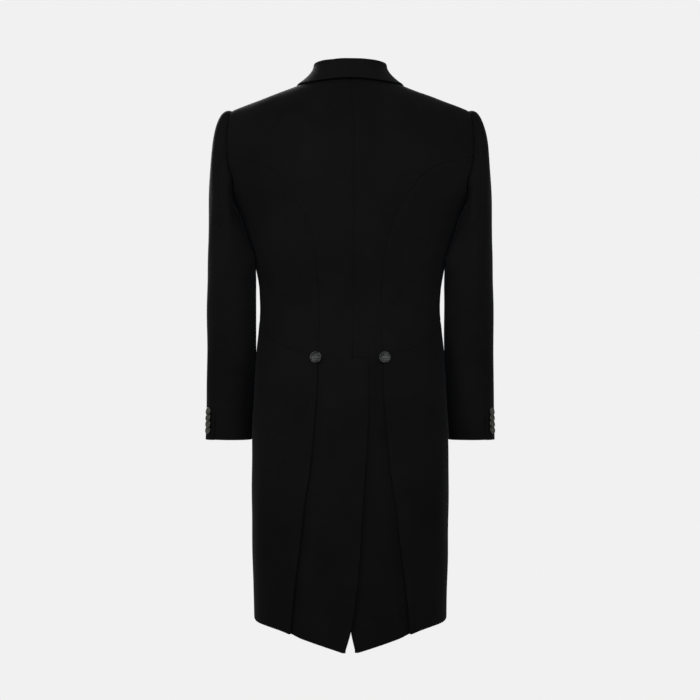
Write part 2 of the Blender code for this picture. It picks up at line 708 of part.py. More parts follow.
def sleeve_grid():
    loop, loop_normals = armhole_loop()
    turns = loop_turns(loop)
    first = SLEEVE[0][0]
    rows = []
    for k in range(CAP_ROWS):
        s = k / CAP_ROWS
        row = []
        for point, normal, turn in zip(loop, loop_normals, turns):
            degrees = math.degrees(turn)
            aim = np.array([curve(CAP, degrees, c) for c in (1, 2, 3)])
            out, down = curve(CAP, degrees, 4), curve(CAP, degrees, 5)
            under = ease((1 - math.cos(turn)) / 2, *CAP_UNDER)
            start = point + normal * under * (CLOTH + 2 * LAYER_GAP)
            end = sleeve_ring(turn, first)
            aim *= out / np.linalg.norm(aim)
            row.append((2 * s ** 3 - 3 * s ** 2 + 1) * start + (s ** 3 - 2 * s ** 2 + s) * aim
                       + (3 * s ** 2 - 2 * s ** 3) * end + (s ** 3 - s ** 2) * np.array([0, 0, -down]))
        rows.append(row)
    upper = np.linspace(first, CUFF_VENT_TOP, ARM_ROWS - CUFF_ROWS + 1)
    lower = np.linspace(CUFF_VENT_TOP, SLEEVE[-1][0], CUFF_ROWS + 1)[1:]
    for height in (*upper, *lower):
        rows.append([sleeve_ring(turn, height) for turn in sleeve_turns(turns, height)])
    grid = np.array(rows)
    down = np.gradient(grid, axis=0)
    around = np.roll(grid, -1, axis=1) - np.roll(grid, 1, axis=1)
    normals = np.cross(around, down)
    normals /= np.linalg.norm(normals, axis=2)[:, :, None]
    middle = grid.mean(axis=1)[:, None]
    if np.sum(normals[CAP_ROWS:] * (grid - middle)[CAP_ROWS:]) < 0:
        normals = -normals
    normals[0] = (normals[0] + loop_normals) / np.linalg.norm(normals[0] + loop_normals, axis=1)[:, None]
    return grid, normals


def sleeves(side, finish):
    grid, normals = sleeve_grid()
    count = grid.shape[1]
    rows = grid.shape[0]
    vent = CAP_ROWS + ARM_ROWS - CUFF_ROWS
    top = [k % count for k in range(FORE_SEAM, count + HIND_SEAM + 1)]
    under = list(range(HIND_SEAM - CUFF_UNDER, FORE_SEAM + 1))
    for stem, columns in (("top_sleeve", top), ("under_sleeve", under)):
        outer, out = grid[:, columns].copy(), normals[:, columns].copy()
        kept = np.ones((rows - 1, len(columns) - 1), bool)
        if stem == "under_sleeve":
            kept[:vent + 1, :CUFF_UNDER] = False
        set_in(outer, kept)
        if stem == "under_sleeve":
            sunk = [CUFF_STEP] * (CUFF_UNDER + 1) + [CUFF_STEP_AT_SEAM]
            for i in range(vent + 1, rows):
                outer[i, :len(sunk)] -= out[i, :len(sunk)] * np.array(sunk)[:, None]
        wall(named(stem, side), to_side(outer, side), to_side(outer - out * CLOTH, side), finish, kept)


# Buttons

def button(name, size, place, out, up, finish):
    # A turned horn button: flat back, raised rim and a dished middle
    radius, thick, sides = size["radius"], size["thick"], size["sides"]
    out = np.array(out) / np.linalg.norm(out)
    right = np.cross(up, out)
    right /= np.linalg.norm(right)
    top = np.cross(out, right)
    points = [place, place + out * thick * BUTTON_PROFILE[-1][1]]
    faces = []
    rings = BUTTON_PROFILE[1:-1]
    for reach, height in rings:
        for k in range(sides):
            turn = 2 * math.pi * k / sides
            spoke = right * math.cos(turn) + top * math.sin(turn)
            points.append(place + spoke * reach * radius + out * height * thick)
    for k in range(sides):
        n = (k + 1) % sides
        faces.append((0, 2 + n, 2 + k))
        for ring in range(len(rings) - 1):
            a, b = 2 + ring * sides, 2 + (ring + 1) * sides
            faces.append((a + k, a + n, b + n, b + k))
        last = 2 + (len(rings) - 1) * sides
        faces.append((1, last + k, last + n))
    return solid(name, points, faces, finish)


def body_buttons(finish):
    up = np.array([0.0, 0.0, 1.0])
    spot = behind(*HIP_BUTTON_AT)
    for side in (1, -1):
        out = body_normal(*spot)
        place = body_point(*spot) + out * BUTTON_SEAT
        button(named("hip_button", side), HIP_BUTTON, to_side(place, side), to_side(out, side), up, finish)
    spot = before(*FRONT_BUTTON_AT)
    out = body_normal(*spot)
    button("front_button", FRONT_BUTTON, body_point(*spot) + out * BUTTON_SEAT, out, up, finish)


def cuff_buttons(side, finish):
    # Four buttons that lap like tiles, the top one uppermost
    for k in range(4):
        height = CUFF_BUTTON_LOWEST + CUFF_BUTTON_PITCH * (3 - k)
        turn = math.radians(CUFF_BUTTON_TURN)
        place = sleeve_ring(turn, height)
        around = sleeve_ring(turn + STEP, height) - sleeve_ring(turn - STEP, height)
        along = sleeve_ring(turn, height + STEP) - sleeve_ring(turn, height - STEP)
        out = np.cross(around, along)
        out /= np.linalg.norm(out)
        if out[0] < 0:
            out = -out
        up = along / np.linalg.norm(along)
        tilted = out * math.cos(CUFF_BUTTON_TILT) + up * math.sin(CUFF_BUTTON_TILT)
        top = up * math.cos(CUFF_BUTTON_TILT) - out * math.sin(CUFF_BUTTON_TILT)
        seat = BUTTON_SEAT + CUFF_BUTTON["radius"] * math.sin(CUFF_BUTTON_TILT)
        place, tilted, top = (to_side(v, side) for v in (place + out * seat, tilted, top))
        button(f"{named('cuff_button', side)}_{k + 1}", CUFF_BUTTON, place, tilted, top, finish)


wool = finish_of("black_wool", (0.012, 0.012, 0.014), 0.85)
collar_wool = finish_of("black_collar_wool", (0.016, 0.015, 0.015), 0.80)
horn = finish_of("dark_horn", (0.050, 0.048, 0.045), 0.35)

for side in (1, -1):
    back(side, wool)
    sidebody(side, wool)
    forepart(side, wool)
    skirt(side, wool)
    lapel(side, wool)
    sleeves(side, wool)
    cuff_buttons(side, horn)
collar(collar_wool)
body_buttons(horn)
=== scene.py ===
import math

import bpy
import numpy as np
from mathutils import Matrix, Vector

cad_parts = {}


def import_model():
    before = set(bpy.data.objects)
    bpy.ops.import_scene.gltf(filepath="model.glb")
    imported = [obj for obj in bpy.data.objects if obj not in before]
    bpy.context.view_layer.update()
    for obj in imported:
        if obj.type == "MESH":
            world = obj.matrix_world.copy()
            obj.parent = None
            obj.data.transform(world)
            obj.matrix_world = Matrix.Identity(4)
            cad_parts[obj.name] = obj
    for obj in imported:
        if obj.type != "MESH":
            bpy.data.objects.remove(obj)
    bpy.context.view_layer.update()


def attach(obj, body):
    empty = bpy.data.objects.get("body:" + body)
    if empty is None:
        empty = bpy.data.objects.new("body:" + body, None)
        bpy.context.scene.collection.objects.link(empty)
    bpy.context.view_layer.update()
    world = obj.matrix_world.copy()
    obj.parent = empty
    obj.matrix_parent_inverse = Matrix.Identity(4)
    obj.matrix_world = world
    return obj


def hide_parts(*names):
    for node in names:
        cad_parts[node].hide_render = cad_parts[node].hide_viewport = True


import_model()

# The coat's own sizes, in metres. +Z is up, the wearer faces -Y and their left side is +X

# Cloth, seams and folds
CLOTH = 0.0016
COLLAR_CLOTH = 0.0022
LAYER_GAP = 0.0004
FOLD_RADIUS = 0.0019
STEP = 1e-4
UP = np.array([0.0, 0.0, 1.0])

# Sections of the body from the hem up to the chest
# Columns: height, half width, side y, back y, front y
SECTIONS = (
    (-1.06, 0.1762, 0.004, 0.113, -0.1),
    (-0.981, 0.1775, 0.004, 0.114, -0.104),
    (-0.87, 0.1806, 0.003, 0.115, -0.108),
    (-0.74, 0.1821, 0.001, 0.117, -0.114),
    (-0.64, 0.1808, -0.001, 0.116, -0.118),
    (-0.56, 0.1772, -0.004, 0.11, -0.12),
    (-0.5, 0.1735, -0.006, 0.101, -0.119),
    (-0.463, 0.1695, -0.008, 0.094, -0.117),
    (-0.426, 0.1664, -0.009, 0.09, -0.116),
    (-0.389, 0.1683, -0.009, 0.0915, -0.118),
    (-0.341, 0.1765, -0.008, 0.097, -0.121),
    (-0.315, 0.1835, -0.007, 0.101, -0.123),
    (-0.278, 0.195, -0.006, 0.107, -0.126),
    (-0.256, 0.2015, -0.005, 0.11, -0.127),
    (-0.19, 0.24, -0.005, 0.118, -0.125),
)
BODY_SQUARENESS = 2.4

# Above the chest the cloth turns over to the shoulder ridge, and a level there is a length of turn
CHEST = -0.19
DOME_LENGTH = 0.25
DOME_SQUARENESS = 2.5
RIDGE_Y = -0.005
RIDGE_SLOPE = 0.3736
RIDGE_AT_NECK = 0.0242
RIDGE_ROUND = 0.02
NECK_HALF = 0.072
SHOULDER_HALF = 0.218
SOFTEN = 0.035
SOFTEN_SHARES = tuple(np.linspace(-1.0, 1.0, 9))
SOFTEN_FULL = 0.25 * SOFTEN
SOFTEN_END = 1.5 * SOFTEN

# The wearer's left armhole, seen from behind and from the front
ARMHOLE_BACK = ((0.2232, -0.075), (0.2256, -0.11), (0.2242, -0.147))
ARMHOLE_UNDER = ((0.2242, -0.147), (0.2196, -0.185), (0.2122, -0.222))
ARMHOLE_FRONT = ((0.207, -0.09), (0.196, -0.135), (0.19, -0.18), (0.191, -0.225))
ARMHOLE_BOTTOM = -0.256
ARMHOLE_STEPS = {"back": 7, "under": 6, "front": 11}
UNDERARM_TURN = math.radians(90.0)

# Seams and edges behind, seen from behind, from the top down
SIDE_SEAM = (
    (0.2242, -0.147), (0.186, -0.158), (0.144, -0.177), (0.111, -0.211), (0.0895, -0.245),
    (0.0765, -0.274), (0.0655, -0.312), (0.059, -0.378), (0.0555, -0.448), (0.06, -0.512),
)
PLEAT_LINE = (
    (0.06, -0.512), (0.06, -0.56), (0.065, -0.63), (0.072, -0.71), (0.083, -0.783),
    (0.0925, -0.865), (0.103, -0.95), (0.109, -1.012),
)
# Columns: height, x
CENTRE_SEAM = ((-0.514, -0.003), (-0.38, -0.007), (-0.1, -0.007), (-0.02, -0.001))
CENTRE_AT_ARMHOLE = -0.13
VENT_TOP = -0.514
VENT_FOLD_AT_HEM = 0.014
VENT_EDGE = (
    (-0.0335, -0.514), (-0.0335, -0.56), (-0.032, -0.63), (-0.0265, -0.72), (-0.021, -0.8),
    (-0.017, -0.875), (-0.0105, -0.94), (-0.001, -1.006), (0.0085, -1.04),
)
VENT_UNDER = ((0.01, -0.514), (0.012, -0.8), (0.008, -0.94), (-0.001, -1.006), (-0.0085, -1.04))
HEM_CENTRE = -1.0435
VENT_STEP = CLOTH + 2 * LAYER_GAP
VENT_CLEAR = 0.012
VENT_EASE = 0.03
VENT_DEEPER = 0.002
VENT_SLOPE = 0.045
VENT_LIFT = 0.0016
VENT_LIFT_REACH = 0.022
# Shares of the way down the tails where the vent's two edges lie apart in full
VENT_FULL = {"under": 0.3, "over": 0.4}

# Waist seam and cutaway front edge: turn about the body in degrees, height
WAIST_SEAM = ((45.0, -0.49), (62.0, -0.468), (130.0, -0.432), (175.0, -0.432))
UNDERARM_WAIST_HEIGHT = -0.442
WAIST_FRONT = -0.432
MARK_GAP = 0.01
FRONT_EDGE = ((160.0, -0.48), (143.0, -0.56), (126.0, -0.65), (112.0, -0.76), (102.0, -0.87),
              (96.0, -0.96), (93.0, -0.99))
SKIRT_HEM = ((44.0, -1.0055), (54.0, -1.0005), (69.0, -0.9965))

# Pleat fold under the skirt's back edge, the strip of the tail below it, and steps of a fold
PLEAT_RETURN = 0.014
PLEAT_RETURN_END = 0.0008
PLEAT_RETURN_STEPS = 9
FOLD_STEPS = 15
ROLL_STEPS = 13
TAIL_UNDER = 0.01
TAIL_SINK = 2.0 * FOLD_RADIUS + LAYER_GAP
TAIL_EASE = 0.025
PLEAT_START = 0.25
PLEAT_DEEPER = 0.0018

# Fronts and lapels: the left front laps over the right one
OVERLAP = 0.015
TUCK = 0.0078
TUCK_HALF = 0.03
TUCK_HEIGHTS = (-0.47, -0.44, -0.315, -0.26)
ROLL_BOTTOM = -0.4
# Columns: down, width, rise, lift
LAPEL = (
    (0.0, 0.058, 0.0, 0.0062), (0.13, 0.101, 0.026, 0.005), (0.26, 0.094, 0.008, 0.0046),
    (0.46, 0.076, 0.0, 0.0042), (0.68, 0.052, 0.0, 0.0038), (0.86, 0.03, 0.0, 0.0034),
    (1.0, 0.012, 0.0, 0.003),
)
LAPEL_START = 0.003
LAPEL_CLEAR = 0.0014
LAPEL_ROLL = 0.15
LAPEL_FLAT = 0.75
LAPEL_LENGTH = 0.36
LAPEL_WIDTH = 0.08

# Collar from the centre back to the gorge. A turn over the shoulder is in degrees, 90 at the ridge
# Columns: seam x, seam turn, stand, outward, edge x, edge turn, edge lift
COLLAR = (
    (0.0, 66.0, 0.021, 0.005, 0.0, 54.6, 0.008),
    (0.026, 66.5, 0.0242, 0.004, 0.029, 56.6, 0.008),
    (0.05, 70.5, 0.0274, -0.002, 0.056, 60.6, 0.007),
    (0.067, 81.0, 0.0278, -0.0098, 0.081, 68.0, 0.0044),
    (0.072, 93.0, 0.024, -0.0125, 0.096, 84.0, 0.0036),
    (0.0705, 109.0, 0.02, -0.01, 0.1, 106.0, 0.0045),
    (0.064, 124.0, 0.013, -0.004, 0.098, 122.0, 0.007),
)
COLLAR_FOLD = 0.0032
COLLAR_BEND = 0.28
COLLAR_STEPS = 72
COLLAR_ENDS = (0.01, 0.006, 0.003, 0.001, 0.0)
COLLAR_THIN = 0.0007
COLLAR_THIN_REACH = 0.0018
COLLAR_WAVE_SHARE = 0.7
COLLAR_WAVE_SCALE = 1.3

# Sleeve rings below the cap: the arm leans forward to the cuff
# Columns: height, centre x, centre y, half width, half depth
SLEEVE = (
    (-0.3, 0.226, -0.008, 0.0365, 0.07),
    (-0.322, 0.2229, -0.008, 0.0403, 0.0694),
    (-0.345, 0.2204, -0.008, 0.0434, 0.0685),
    (-0.365, 0.2193, -0.008, 0.0449, 0.0675),
    (-0.42, 0.2196, -0.006, 0.0456, 0.063),
    (-0.5, 0.2197, -0.012, 0.0457, 0.057),
    (-0.58, 0.2226, -0.022, 0.0444, 0.052),
    (-0.6665, 0.2263, -0.036, 0.0435, 0.048),
)
SLEEVE_SQUARENESS = 2.3
# Columns: turn, aim x, aim y, aim z, out, down
CAP = (
    (0.0, 0.95, 0.0, 0.27, 0.124, 0.4),
    (90.0, 0.7, 0.4, -0.6, 0.08, 0.15),
    (180.0, 0.1, 0.0, -1.0, 0.016, 0.03),
    (270.0, 0.7, -0.4, -0.6, 0.08, 0.15),
    (360.0, 0.95, 0.0, 0.27, 0.124, 0.4),
)
CAP_ROWS = 8
ARM_ROWS = 11
HIND_SEAM = 6
FORE_SEAM = 17
HIND_TURN_AT_CUFF = 56.0
FORE_TURN_AT_CUFF = 235.0
SEAMS_TURNED = -0.5
CAP_UNDER = (0.3, 0.8)
SLEEVE_INSET = 0.0016
SLEEVE_SINK = 0.0018
ARMHOLE_SINK = 0.5
SLEEVE_TURN_IN = 0.0024
# Columns: height, x of the sleeve where it lies against the side of the body
LEAN_LINE = ((-0.37, 0.1744), (-0.342, 0.1747), (-0.302, 0.1861), (-0.2743, 0.1954), (-0.2405, 0.206))
LEAN_HEIGHTS = (-0.38, -0.33, -0.255, -0.225)
LEAN_DEPTHS = (-0.075, -0.045, 0.038, 0.06)
LEAN_CLEAR = 0.0008
LEAN_INNER = 0.01
CALM_HEIGHTS = (-0.4, -0.36, -0.22, -0.18)
CALM_REACH = (0.008, 0.024)
CUFF_VENT_TOP = -0.607
CUFF_UNDER = 2
CUFF_STEP = CLOTH + LAYER_GAP
CUFF_STEP_AT_SEAM = 0.4 * CUFF_STEP

# Buttons
HIP_BUTTON = {"radius": 0.0107, "thick": 0.0042, "shank": 0.0012}
HIP_BUTTON_AT = (0.062, -0.513)
CUFF_BUTTON = {"radius": 0.0071, "thick": 0.0026, "shank": 0.0022}
CUFF_BUTTON_PITCH = 0.0115
CUFF_BUTTON_LOWEST = -0.648
CUFF_BUTTON_TILT = math.radians(15.0)
CUFF_BUTTON_TURN = 40.0
FRONT_BUTTON_AT = (0.0, -0.4165)
BUTTON_SEAT = 0.0003
SEAT_REACH = 0.012
SEAT_SHARE = 85

# Steps of the coarse grids, which each fine grid divides again
BACK_STEPS = 7
VENT_STEPS = 2
NECK_STEPS = 3
NECK_FADE = 0.25
SEAM_ROWS = 11
TAIL_ROWS = 12
FORE_STEPS = 7
FRONT_ROWS = 1
FRONT_CROWDING = 0.7
LAPEL_ROWS = 12
LAPEL_STEPS = 6
CUFF_ROWS = 2
FINE = 8
CURVE_POINTS = 1601
# Points whose distances are worked out at a time
AT_ONCE = 4000

# Rows close to an edge, as distances from it, and how far its two faces turn in there
EDGE_ROWS = (0.00025, 0.0006, 0.0011, 0.0018, 0.0028)
CLOSEST_ROWS = 0.0001
EDGE_DEPTH = 0.00055
EDGE_REACH = 0.0016
SEAM_DEPTH = 0.00072
SEAM_REACH = 0.0034
SEAM_FADE = 0.01
PUCKER = 0.00016
PUCKER_REACH = 0.008
PUCKER_LENGTH = 0.0135
PUCKER_START = 0.0015

# Creases of the body, each a soft trough or ridge between two points, seen from behind and from
# the front. The wearer's left is positive x. The first one is the top of the vent
# Columns: first x, first height, last x, last height, half width, depth
CREASES_BEHIND = (
    (0.004, -0.5138, -0.04, -0.5165, 0.0022, -0.0013), (0.176, -0.18, 0.156, -0.29, 0.011, -0.0014),
    (0.15, -0.2, 0.142, -0.32, 0.014, 0.001), (-0.172, -0.185, -0.154, -0.28, 0.011, -0.0013),
    (-0.148, -0.205, -0.14, -0.31, 0.014, 0.0009), (0.128, -0.365, 0.066, -0.44, 0.012, -0.0011),
    (-0.138, -0.35, -0.07, -0.435, 0.012, -0.0012), (0.15, -0.4, 0.09, -0.455, 0.009, 0.0008),
    (-0.148, -0.395, -0.085, -0.45, 0.009, 0.0007), (0.052, -0.02, 0.034, -0.11, 0.014, -0.001),
    (-0.06, -0.022, -0.04, -0.12, 0.014, -0.0011), (0.02, -0.3, 0.026, -0.43, 0.012, -0.0009),
    (-0.03, -0.29, -0.028, -0.42, 0.012, -0.001), (0.128, -0.56, 0.142, -0.93, 0.018, -0.0022),
    (0.098, -0.6, 0.112, -0.96, 0.015, 0.0016), (0.158, -0.64, 0.166, -0.98, 0.014, 0.0014),
    (-0.122, -0.545, -0.138, -0.9, 0.018, -0.002), (-0.1, -0.64, -0.116, -0.985, 0.015, 0.0017),
    (-0.16, -0.6, -0.164, -0.94, 0.014, 0.0012), (0.024, -0.58, 0.042, -0.98, 0.016, -0.0013),
    (-0.052, -0.6, -0.058, -0.96, 0.014, -0.0011),
)
CREASES_BEFORE = (
    (0.15, -0.25, 0.11, -0.4, 0.015, -0.0018), (-0.148, -0.245, -0.112, -0.395, 0.015, -0.0017),
    (0.12, -0.36, 0.03, -0.418, 0.011, -0.0012), (-0.12, -0.35, -0.04, -0.414, 0.011, -0.0012),
    (0.15, -0.48, 0.16, -0.7, 0.016, -0.0018), (-0.15, -0.475, -0.162, -0.69, 0.016, -0.0017),
)
# Creases of the wearer's left sleeve and then of the right one
# Columns: first turn in degrees, first height, last turn, last height, half width, depth
SLEEVE_CREASES = {
    1: (
        (60.0, -0.235, 80.0, -0.33, 0.012, -0.0016), (100.0, -0.3, 70.0, -0.42, 0.012, 0.0014),
        (120.0, -0.41, 60.0, -0.455, 0.0095, -0.0016), (125.0, -0.455, 70.0, -0.49, 0.0085, -0.0013),
        (40.0, -0.48, 60.0, -0.61, 0.012, 0.001), (245.0, -0.42, 300.0, -0.45, 0.01, -0.0022),
        (240.0, -0.455, 305.0, -0.475, 0.009, -0.0018), (250.0, -0.39, 290.0, -0.405, 0.008, -0.0012),
        (20.0, -0.12, 40.0, -0.26, 0.014, -0.001), (340.0, -0.13, 325.0, -0.3, 0.014, -0.0012),
    ),
    -1: (
        (62.0, -0.225, 84.0, -0.32, 0.012, -0.0015), (102.0, -0.31, 66.0, -0.41, 0.011, 0.0013),
        (122.0, -0.425, 64.0, -0.46, 0.009, -0.0015), (118.0, -0.47, 72.0, -0.5, 0.0085, -0.0012),
        (44.0, -0.5, 58.0, -0.605, 0.012, 0.001), (243.0, -0.43, 302.0, -0.455, 0.01, -0.0021),
        (238.0, -0.465, 303.0, -0.48, 0.009, -0.0017), (252.0, -0.4, 286.0, -0.412, 0.008, -0.0013),
        (18.0, -0.125, 38.0, -0.25, 0.014, -0.0011), (338.0, -0.14, 328.0, -0.29, 0.014, -0.0011),
    ),
}
# Where a crease fades in and out along its line, and how it bends there
CREASE_FADE = (-0.1, 0.35, 0.6, 1.1)
CREASE_BEND = 0.12
CREASE_BEND_TURNS = 7.0
# Slow unevenness that all cloth has: wavelength and height
SLOW_LENGTH = 0.075
SLOW_HEIGHT = 0.00045
SLEEVE_WAVE_SHIFT = 0.31
SLEEVE_WAVE_START = 1.5


# Curves and shapes

def curve(table, value, column):
    # Values read from a table whose first column rises, on a curve that never overshoots its points
    xs = np.array([row[0] for row in table], float)
    ys = np.array([row[column] for row in table], float)
    steps = np.diff(ys) / np.diff(xs)
    between = [2 * a * b / (a + b) if a * b > 0 else 0.0 for a, b in zip(steps, steps[1:])]
    slopes = np.array([steps[0], *between, steps[-1]])
    value = np.clip(np.asarray(value, float), xs[0], xs[-1])
    i = np.clip(np.searchsorted(xs, value, side="right") - 1, 0, len(xs) - 2)
    width = xs[i + 1] - xs[i]
    t = (value - xs[i]) / width
    near = (2 * t ** 3 - 3 * t ** 2 + 1) * ys[i] + (t ** 3 - 2 * t ** 2 + t) * width * slopes[i]
    return near + (3 * t ** 2 - 2 * t ** 3) * ys[i + 1] + (t ** 3 - t ** 2) * width * slopes[i + 1]


def ease(value, start, end):
    # 0 at the start, 1 at the end, smooth between
    t = np.clip((value - start) / (end - start), 0.0, 1.0)
    return t * t * (3 - 2 * t)


def band(value, low, low_full, high_full, high):
    # 1 between the two middle marks, smoothly down to 0 at the outer ones
    return ease(value, low, low_full) * (1 - ease(value, high_full, high))


def unit(vectors):
    return vectors / np.linalg.norm(vectors, axis=-1)[..., None]


def round_point(turn, squareness):
    # A point of a rounded square of half size 1: how far to the side, and how far back
    side, back = np.sin(turn), np.cos(turn)
    size = (np.abs(side) ** squareness + np.abs(back) ** squareness) ** (-1.0 / squareness)
    return side * size, back * size


def turn_of(side, squareness):
    side = np.clip(side, -1.0, 1.0)
    return np.arctan2(side, (1.0 - np.abs(side) ** squareness) ** (1.0 / squareness))


# The body's surface: turn 0 is the centre back and a right angle is the wearer's left side

def ridge_height(x):
    return RIDGE_AT_NECK - RIDGE_SLOPE * np.sqrt(x * x + RIDGE_ROUND ** 2)


def section_point(turn, height):
    side, back = round_point(turn, BODY_SQUARENESS)
    middle = curve(SECTIONS, height, 2)
    reach = np.where(back > 0, curve(SECTIONS, height, 3), curve(SECTIONS, height, 4)) - middle
    x = side * curve(SECTIONS, height, 1)
    return np.stack([x, middle + np.abs(back) * reach, height + 0.0 * x], axis=-1)


def dome_point(x, over):
    # Over the shoulder at one distance from the middle: a quarter turn is the ridge
    up, back = round_point(over, DOME_SQUARENESS)
    turn = turn_of(x / SECTIONS[-1][1], BODY_SQUARENESS)
    chest = section_point(np.where(back > 0, turn, math.pi - turn), CHEST)
    height = CHEST + (ridge_height(x) - CHEST) * up
    return np.stack([x + 0.0 * up, RIDGE_Y + np.abs(back) * (chest[..., 1] - RIDGE_Y), height], axis=-1)


def over_of(turn, level):
    over = np.maximum(level - CHEST, 0.0) / DOME_LENGTH * math.pi / 2
    return np.where(np.cos(turn) > 0, over, math.pi - over)


def plain_point(turn, level):
    low = section_point(turn, np.minimum(level, CHEST))
    high = dome_point(section_point(turn, CHEST)[..., 0], over_of(turn, level))
    return np.where((level <= CHEST)[..., None], low, high)


def body_point(turn, level):
    # The plain form, softened where the chest turns over into the shoulder
    turn, level = np.broadcast_arrays(np.asarray(turn, float), np.asarray(level, float))
    reach = SOFTEN * (1 - ease(np.abs(level - CHEST), SOFTEN_FULL, SOFTEN_END))
    soft = reach > 0
    result = plain_point(turn, level)
    if np.any(soft):
        picked_turn, picked_level, wide = turn[soft], level[soft], reach[soft]
        total = np.zeros((len(wide), 3))
        for share in SOFTEN_SHARES:
            total += plain_point(picked_turn, picked_level + share * wide)
        result[soft] = total / len(SOFTEN_SHARES)
    return result


def body_normal(turn, level):
    turn, level = np.broadcast_arrays(np.asarray(turn, float), np.asarray(level, float))
    low = np.cross(body_point(turn + STEP, level) - body_point(turn - STEP, level),
                   body_point(turn, level + STEP) - body_point(turn, level - STEP))
    out_low = np.stack([np.sin(turn), np.cos(turn), 0.0 * turn], axis=-1)
    x = section_point(turn, CHEST)[..., 0]
    over = over_of(turn, level)
    high = np.cross(dome_point(x + STEP, over) - dome_point(x - STEP, over),
                    dome_point(x, over + STEP) - dome_point(x, over - STEP))
    out_high = np.stack([0.0 * over, np.cos(over), np.sin(over)], axis=-1)
    is_low = (level <= CHEST + SOFTEN_END)[..., None]
    normal = unit(np.where(is_low, low, high))
    outward = np.where(is_low, out_low, out_high)
    return np.where(np.sum(normal * outward, axis=-1)[..., None] > 0, normal, -normal)


def behind(x, height=None):
    # Turn and level of a point seen from behind. With no height it is on the shoulder ridge
    if height is not None and height <= CHEST:
        return float(turn_of(x / curve(SECTIONS, height, 1), BODY_SQUARENESS)), height
    turn = float(turn_of(x / SECTIONS[-1][1], BODY_SQUARENESS))
    if height is None:
        return turn, CHEST + DOME_LENGTH
    up = (height - CHEST) / (ridge_height(x) - CHEST)
    return turn, CHEST + float(turn_of(up, DOME_SQUARENESS)) / (math.pi / 2) * DOME_LENGTH


def before(x, height=None):
    turn, level = behind(x, height)
    return math.pi - turn, level


def over_shoulder(x, degrees):
    # Turn and level of a point at a turn over the shoulder, below 90 degrees behind the ridge
    turn = float(turn_of(x / SECTIONS[-1][1], BODY_SQUARENESS))
    if degrees <= 90:
        return turn, CHEST + degrees / 90 * DOME_LENGTH
    return math.pi - turn, CHEST + (180 - degrees) / 90 * DOME_LENGTH


def even(points, steps, by_turn=False):
    # Even steps along a smooth curve on the body through a few turns and levels, or even turns
    def marks(places):
        spots = body_point(places[:, 0], places[:, 1])
        return np.concatenate([[0.0], np.cumsum(np.linalg.norm(np.diff(spots, axis=0), axis=1))])

    points = np.array(points, float)
    rows = np.column_stack([marks(points), points])
    at = np.linspace(0.0, rows[-1, 0], CURVE_POINTS)
    smooth = np.column_stack([curve(rows, at, 1), curve(rows, at, 2)])
    along = smooth[:, 0] - smooth[0, 0] if by_turn else marks(smooth)
    wanted = np.linspace(0.0, along[-1], steps * FINE + 1)
    return np.column_stack([np.interp(wanted, along, smooth[:, c]) for c in (0, 1)])


def patch_between(top, bottom, left, right, fade=None):
    # A patch of turns and levels between four edges. The top edge's bends fade out on the way down
    down = np.linspace(0.0, 1.0, len(left))[:, None, None]
    across = np.linspace(0.0, 1.0, len(top))[None, :, None]
    upper = (1 - across) * top[0] + across * top[-1]
    lower = (1 - across) * bottom[0] + across * bottom[-1]
    share = 1 - down if fade is None else 1 - ease(down, 0.0, fade)
    sides = (1 - across) * left[:, None] + across * right[:, None]
    return sides + share * (top[None] - upper) + down * (bottom[None] - lower)


# Fine grids: rows crowd towards the edges, so that each edge can be rounded

def crowded(count, size, edges):
    # Places along one way of a grid of so many steps and so many metres, crowded at the given steps
    places = set(map(float, range(count + 1)))
    for edge in edges:
        places.update(edge + sign * row / size * count for row in EDGE_ROWS for sign in (-1, 1))
    fixed = [0.0, float(count), *map(float, edges)]
    kept = []
    for place in sorted(p for p in places if 0 <= p <= count):
        if kept and place - kept[-1] < CLOSEST_ROWS / size * count:
            if any(abs(place - f) < 1e-9 for f in fixed):
                kept[-1] = place
            continue
        kept.append(place)
    return np.array(kept)


def sampled(grid, rows, columns):
    # A grid read between its own points
    def along(values, places, axis):
        low = np.clip(np.floor(places).astype(int), 0, values.shape[axis] - 2)
        t = places - low
        t = t.reshape([-1 if k == axis else 1 for k in range(values.ndim)])
        return np.take(values, low, axis) * (1 - t) + np.take(values, low + 1, axis) * t

    return along(along(grid, rows, 0), columns, 1)


def kept_fine(kept, rows, columns):
    # Which fine cells lie in the kept cells of the coarse grid
    middles = [((places[1:] + places[:-1]) / 2 / FINE).astype(int) for places in (rows, columns)]
    return kept[np.ix_(*middles)]


def cells_round(kept):
    # Whether each of the four cells round each point of a grid is kept
    padded = np.pad(kept, 1)
    return [padded[:-1, :-1], padded[:-1, 1:], padded[1:, :-1], padded[1:, 1:]]


def border_of(kept):
    # The points round the kept cells
    cells = cells_round(kept)
    return np.logical_or.reduce(cells) & ~np.logical_and.reduce(cells)


def all_cells(grid):
    return np.ones((grid.shape[0] - 1, grid.shape[1] - 1), bool)


def lengths(grid, axis):
    # Metres down or across a grid from its first points
    steps = np.linalg.norm(np.diff(grid, axis=axis), axis=2)
    return np.pad(steps.cumsum(axis=axis), [(1 - axis, 0), (axis, 0)])


def on_body(grid):
    # Points of a grid of turns and levels, and the ways out of the body there
    return body_point(grid[..., 0], grid[..., 1]), body_normal(grid[..., 0], grid[..., 1])


def distance_to(points, targets):
    # Distance from every point to its nearest target
    flat = points.reshape(-1, 3)
    result = np.empty(len(flat))
    for start in range(0, len(flat), AT_ONCE):
        part = flat[start:start + AT_ONCE]
        square = (part ** 2).sum(1)[:, None] + (targets ** 2).sum(1)[None] - 2 * part @ targets.T
        result[start:start + AT_ONCE] = np.sqrt(np.maximum(square.min(axis=1), 0.0))
    return result.reshape(points.shape[:-1])


# Drape

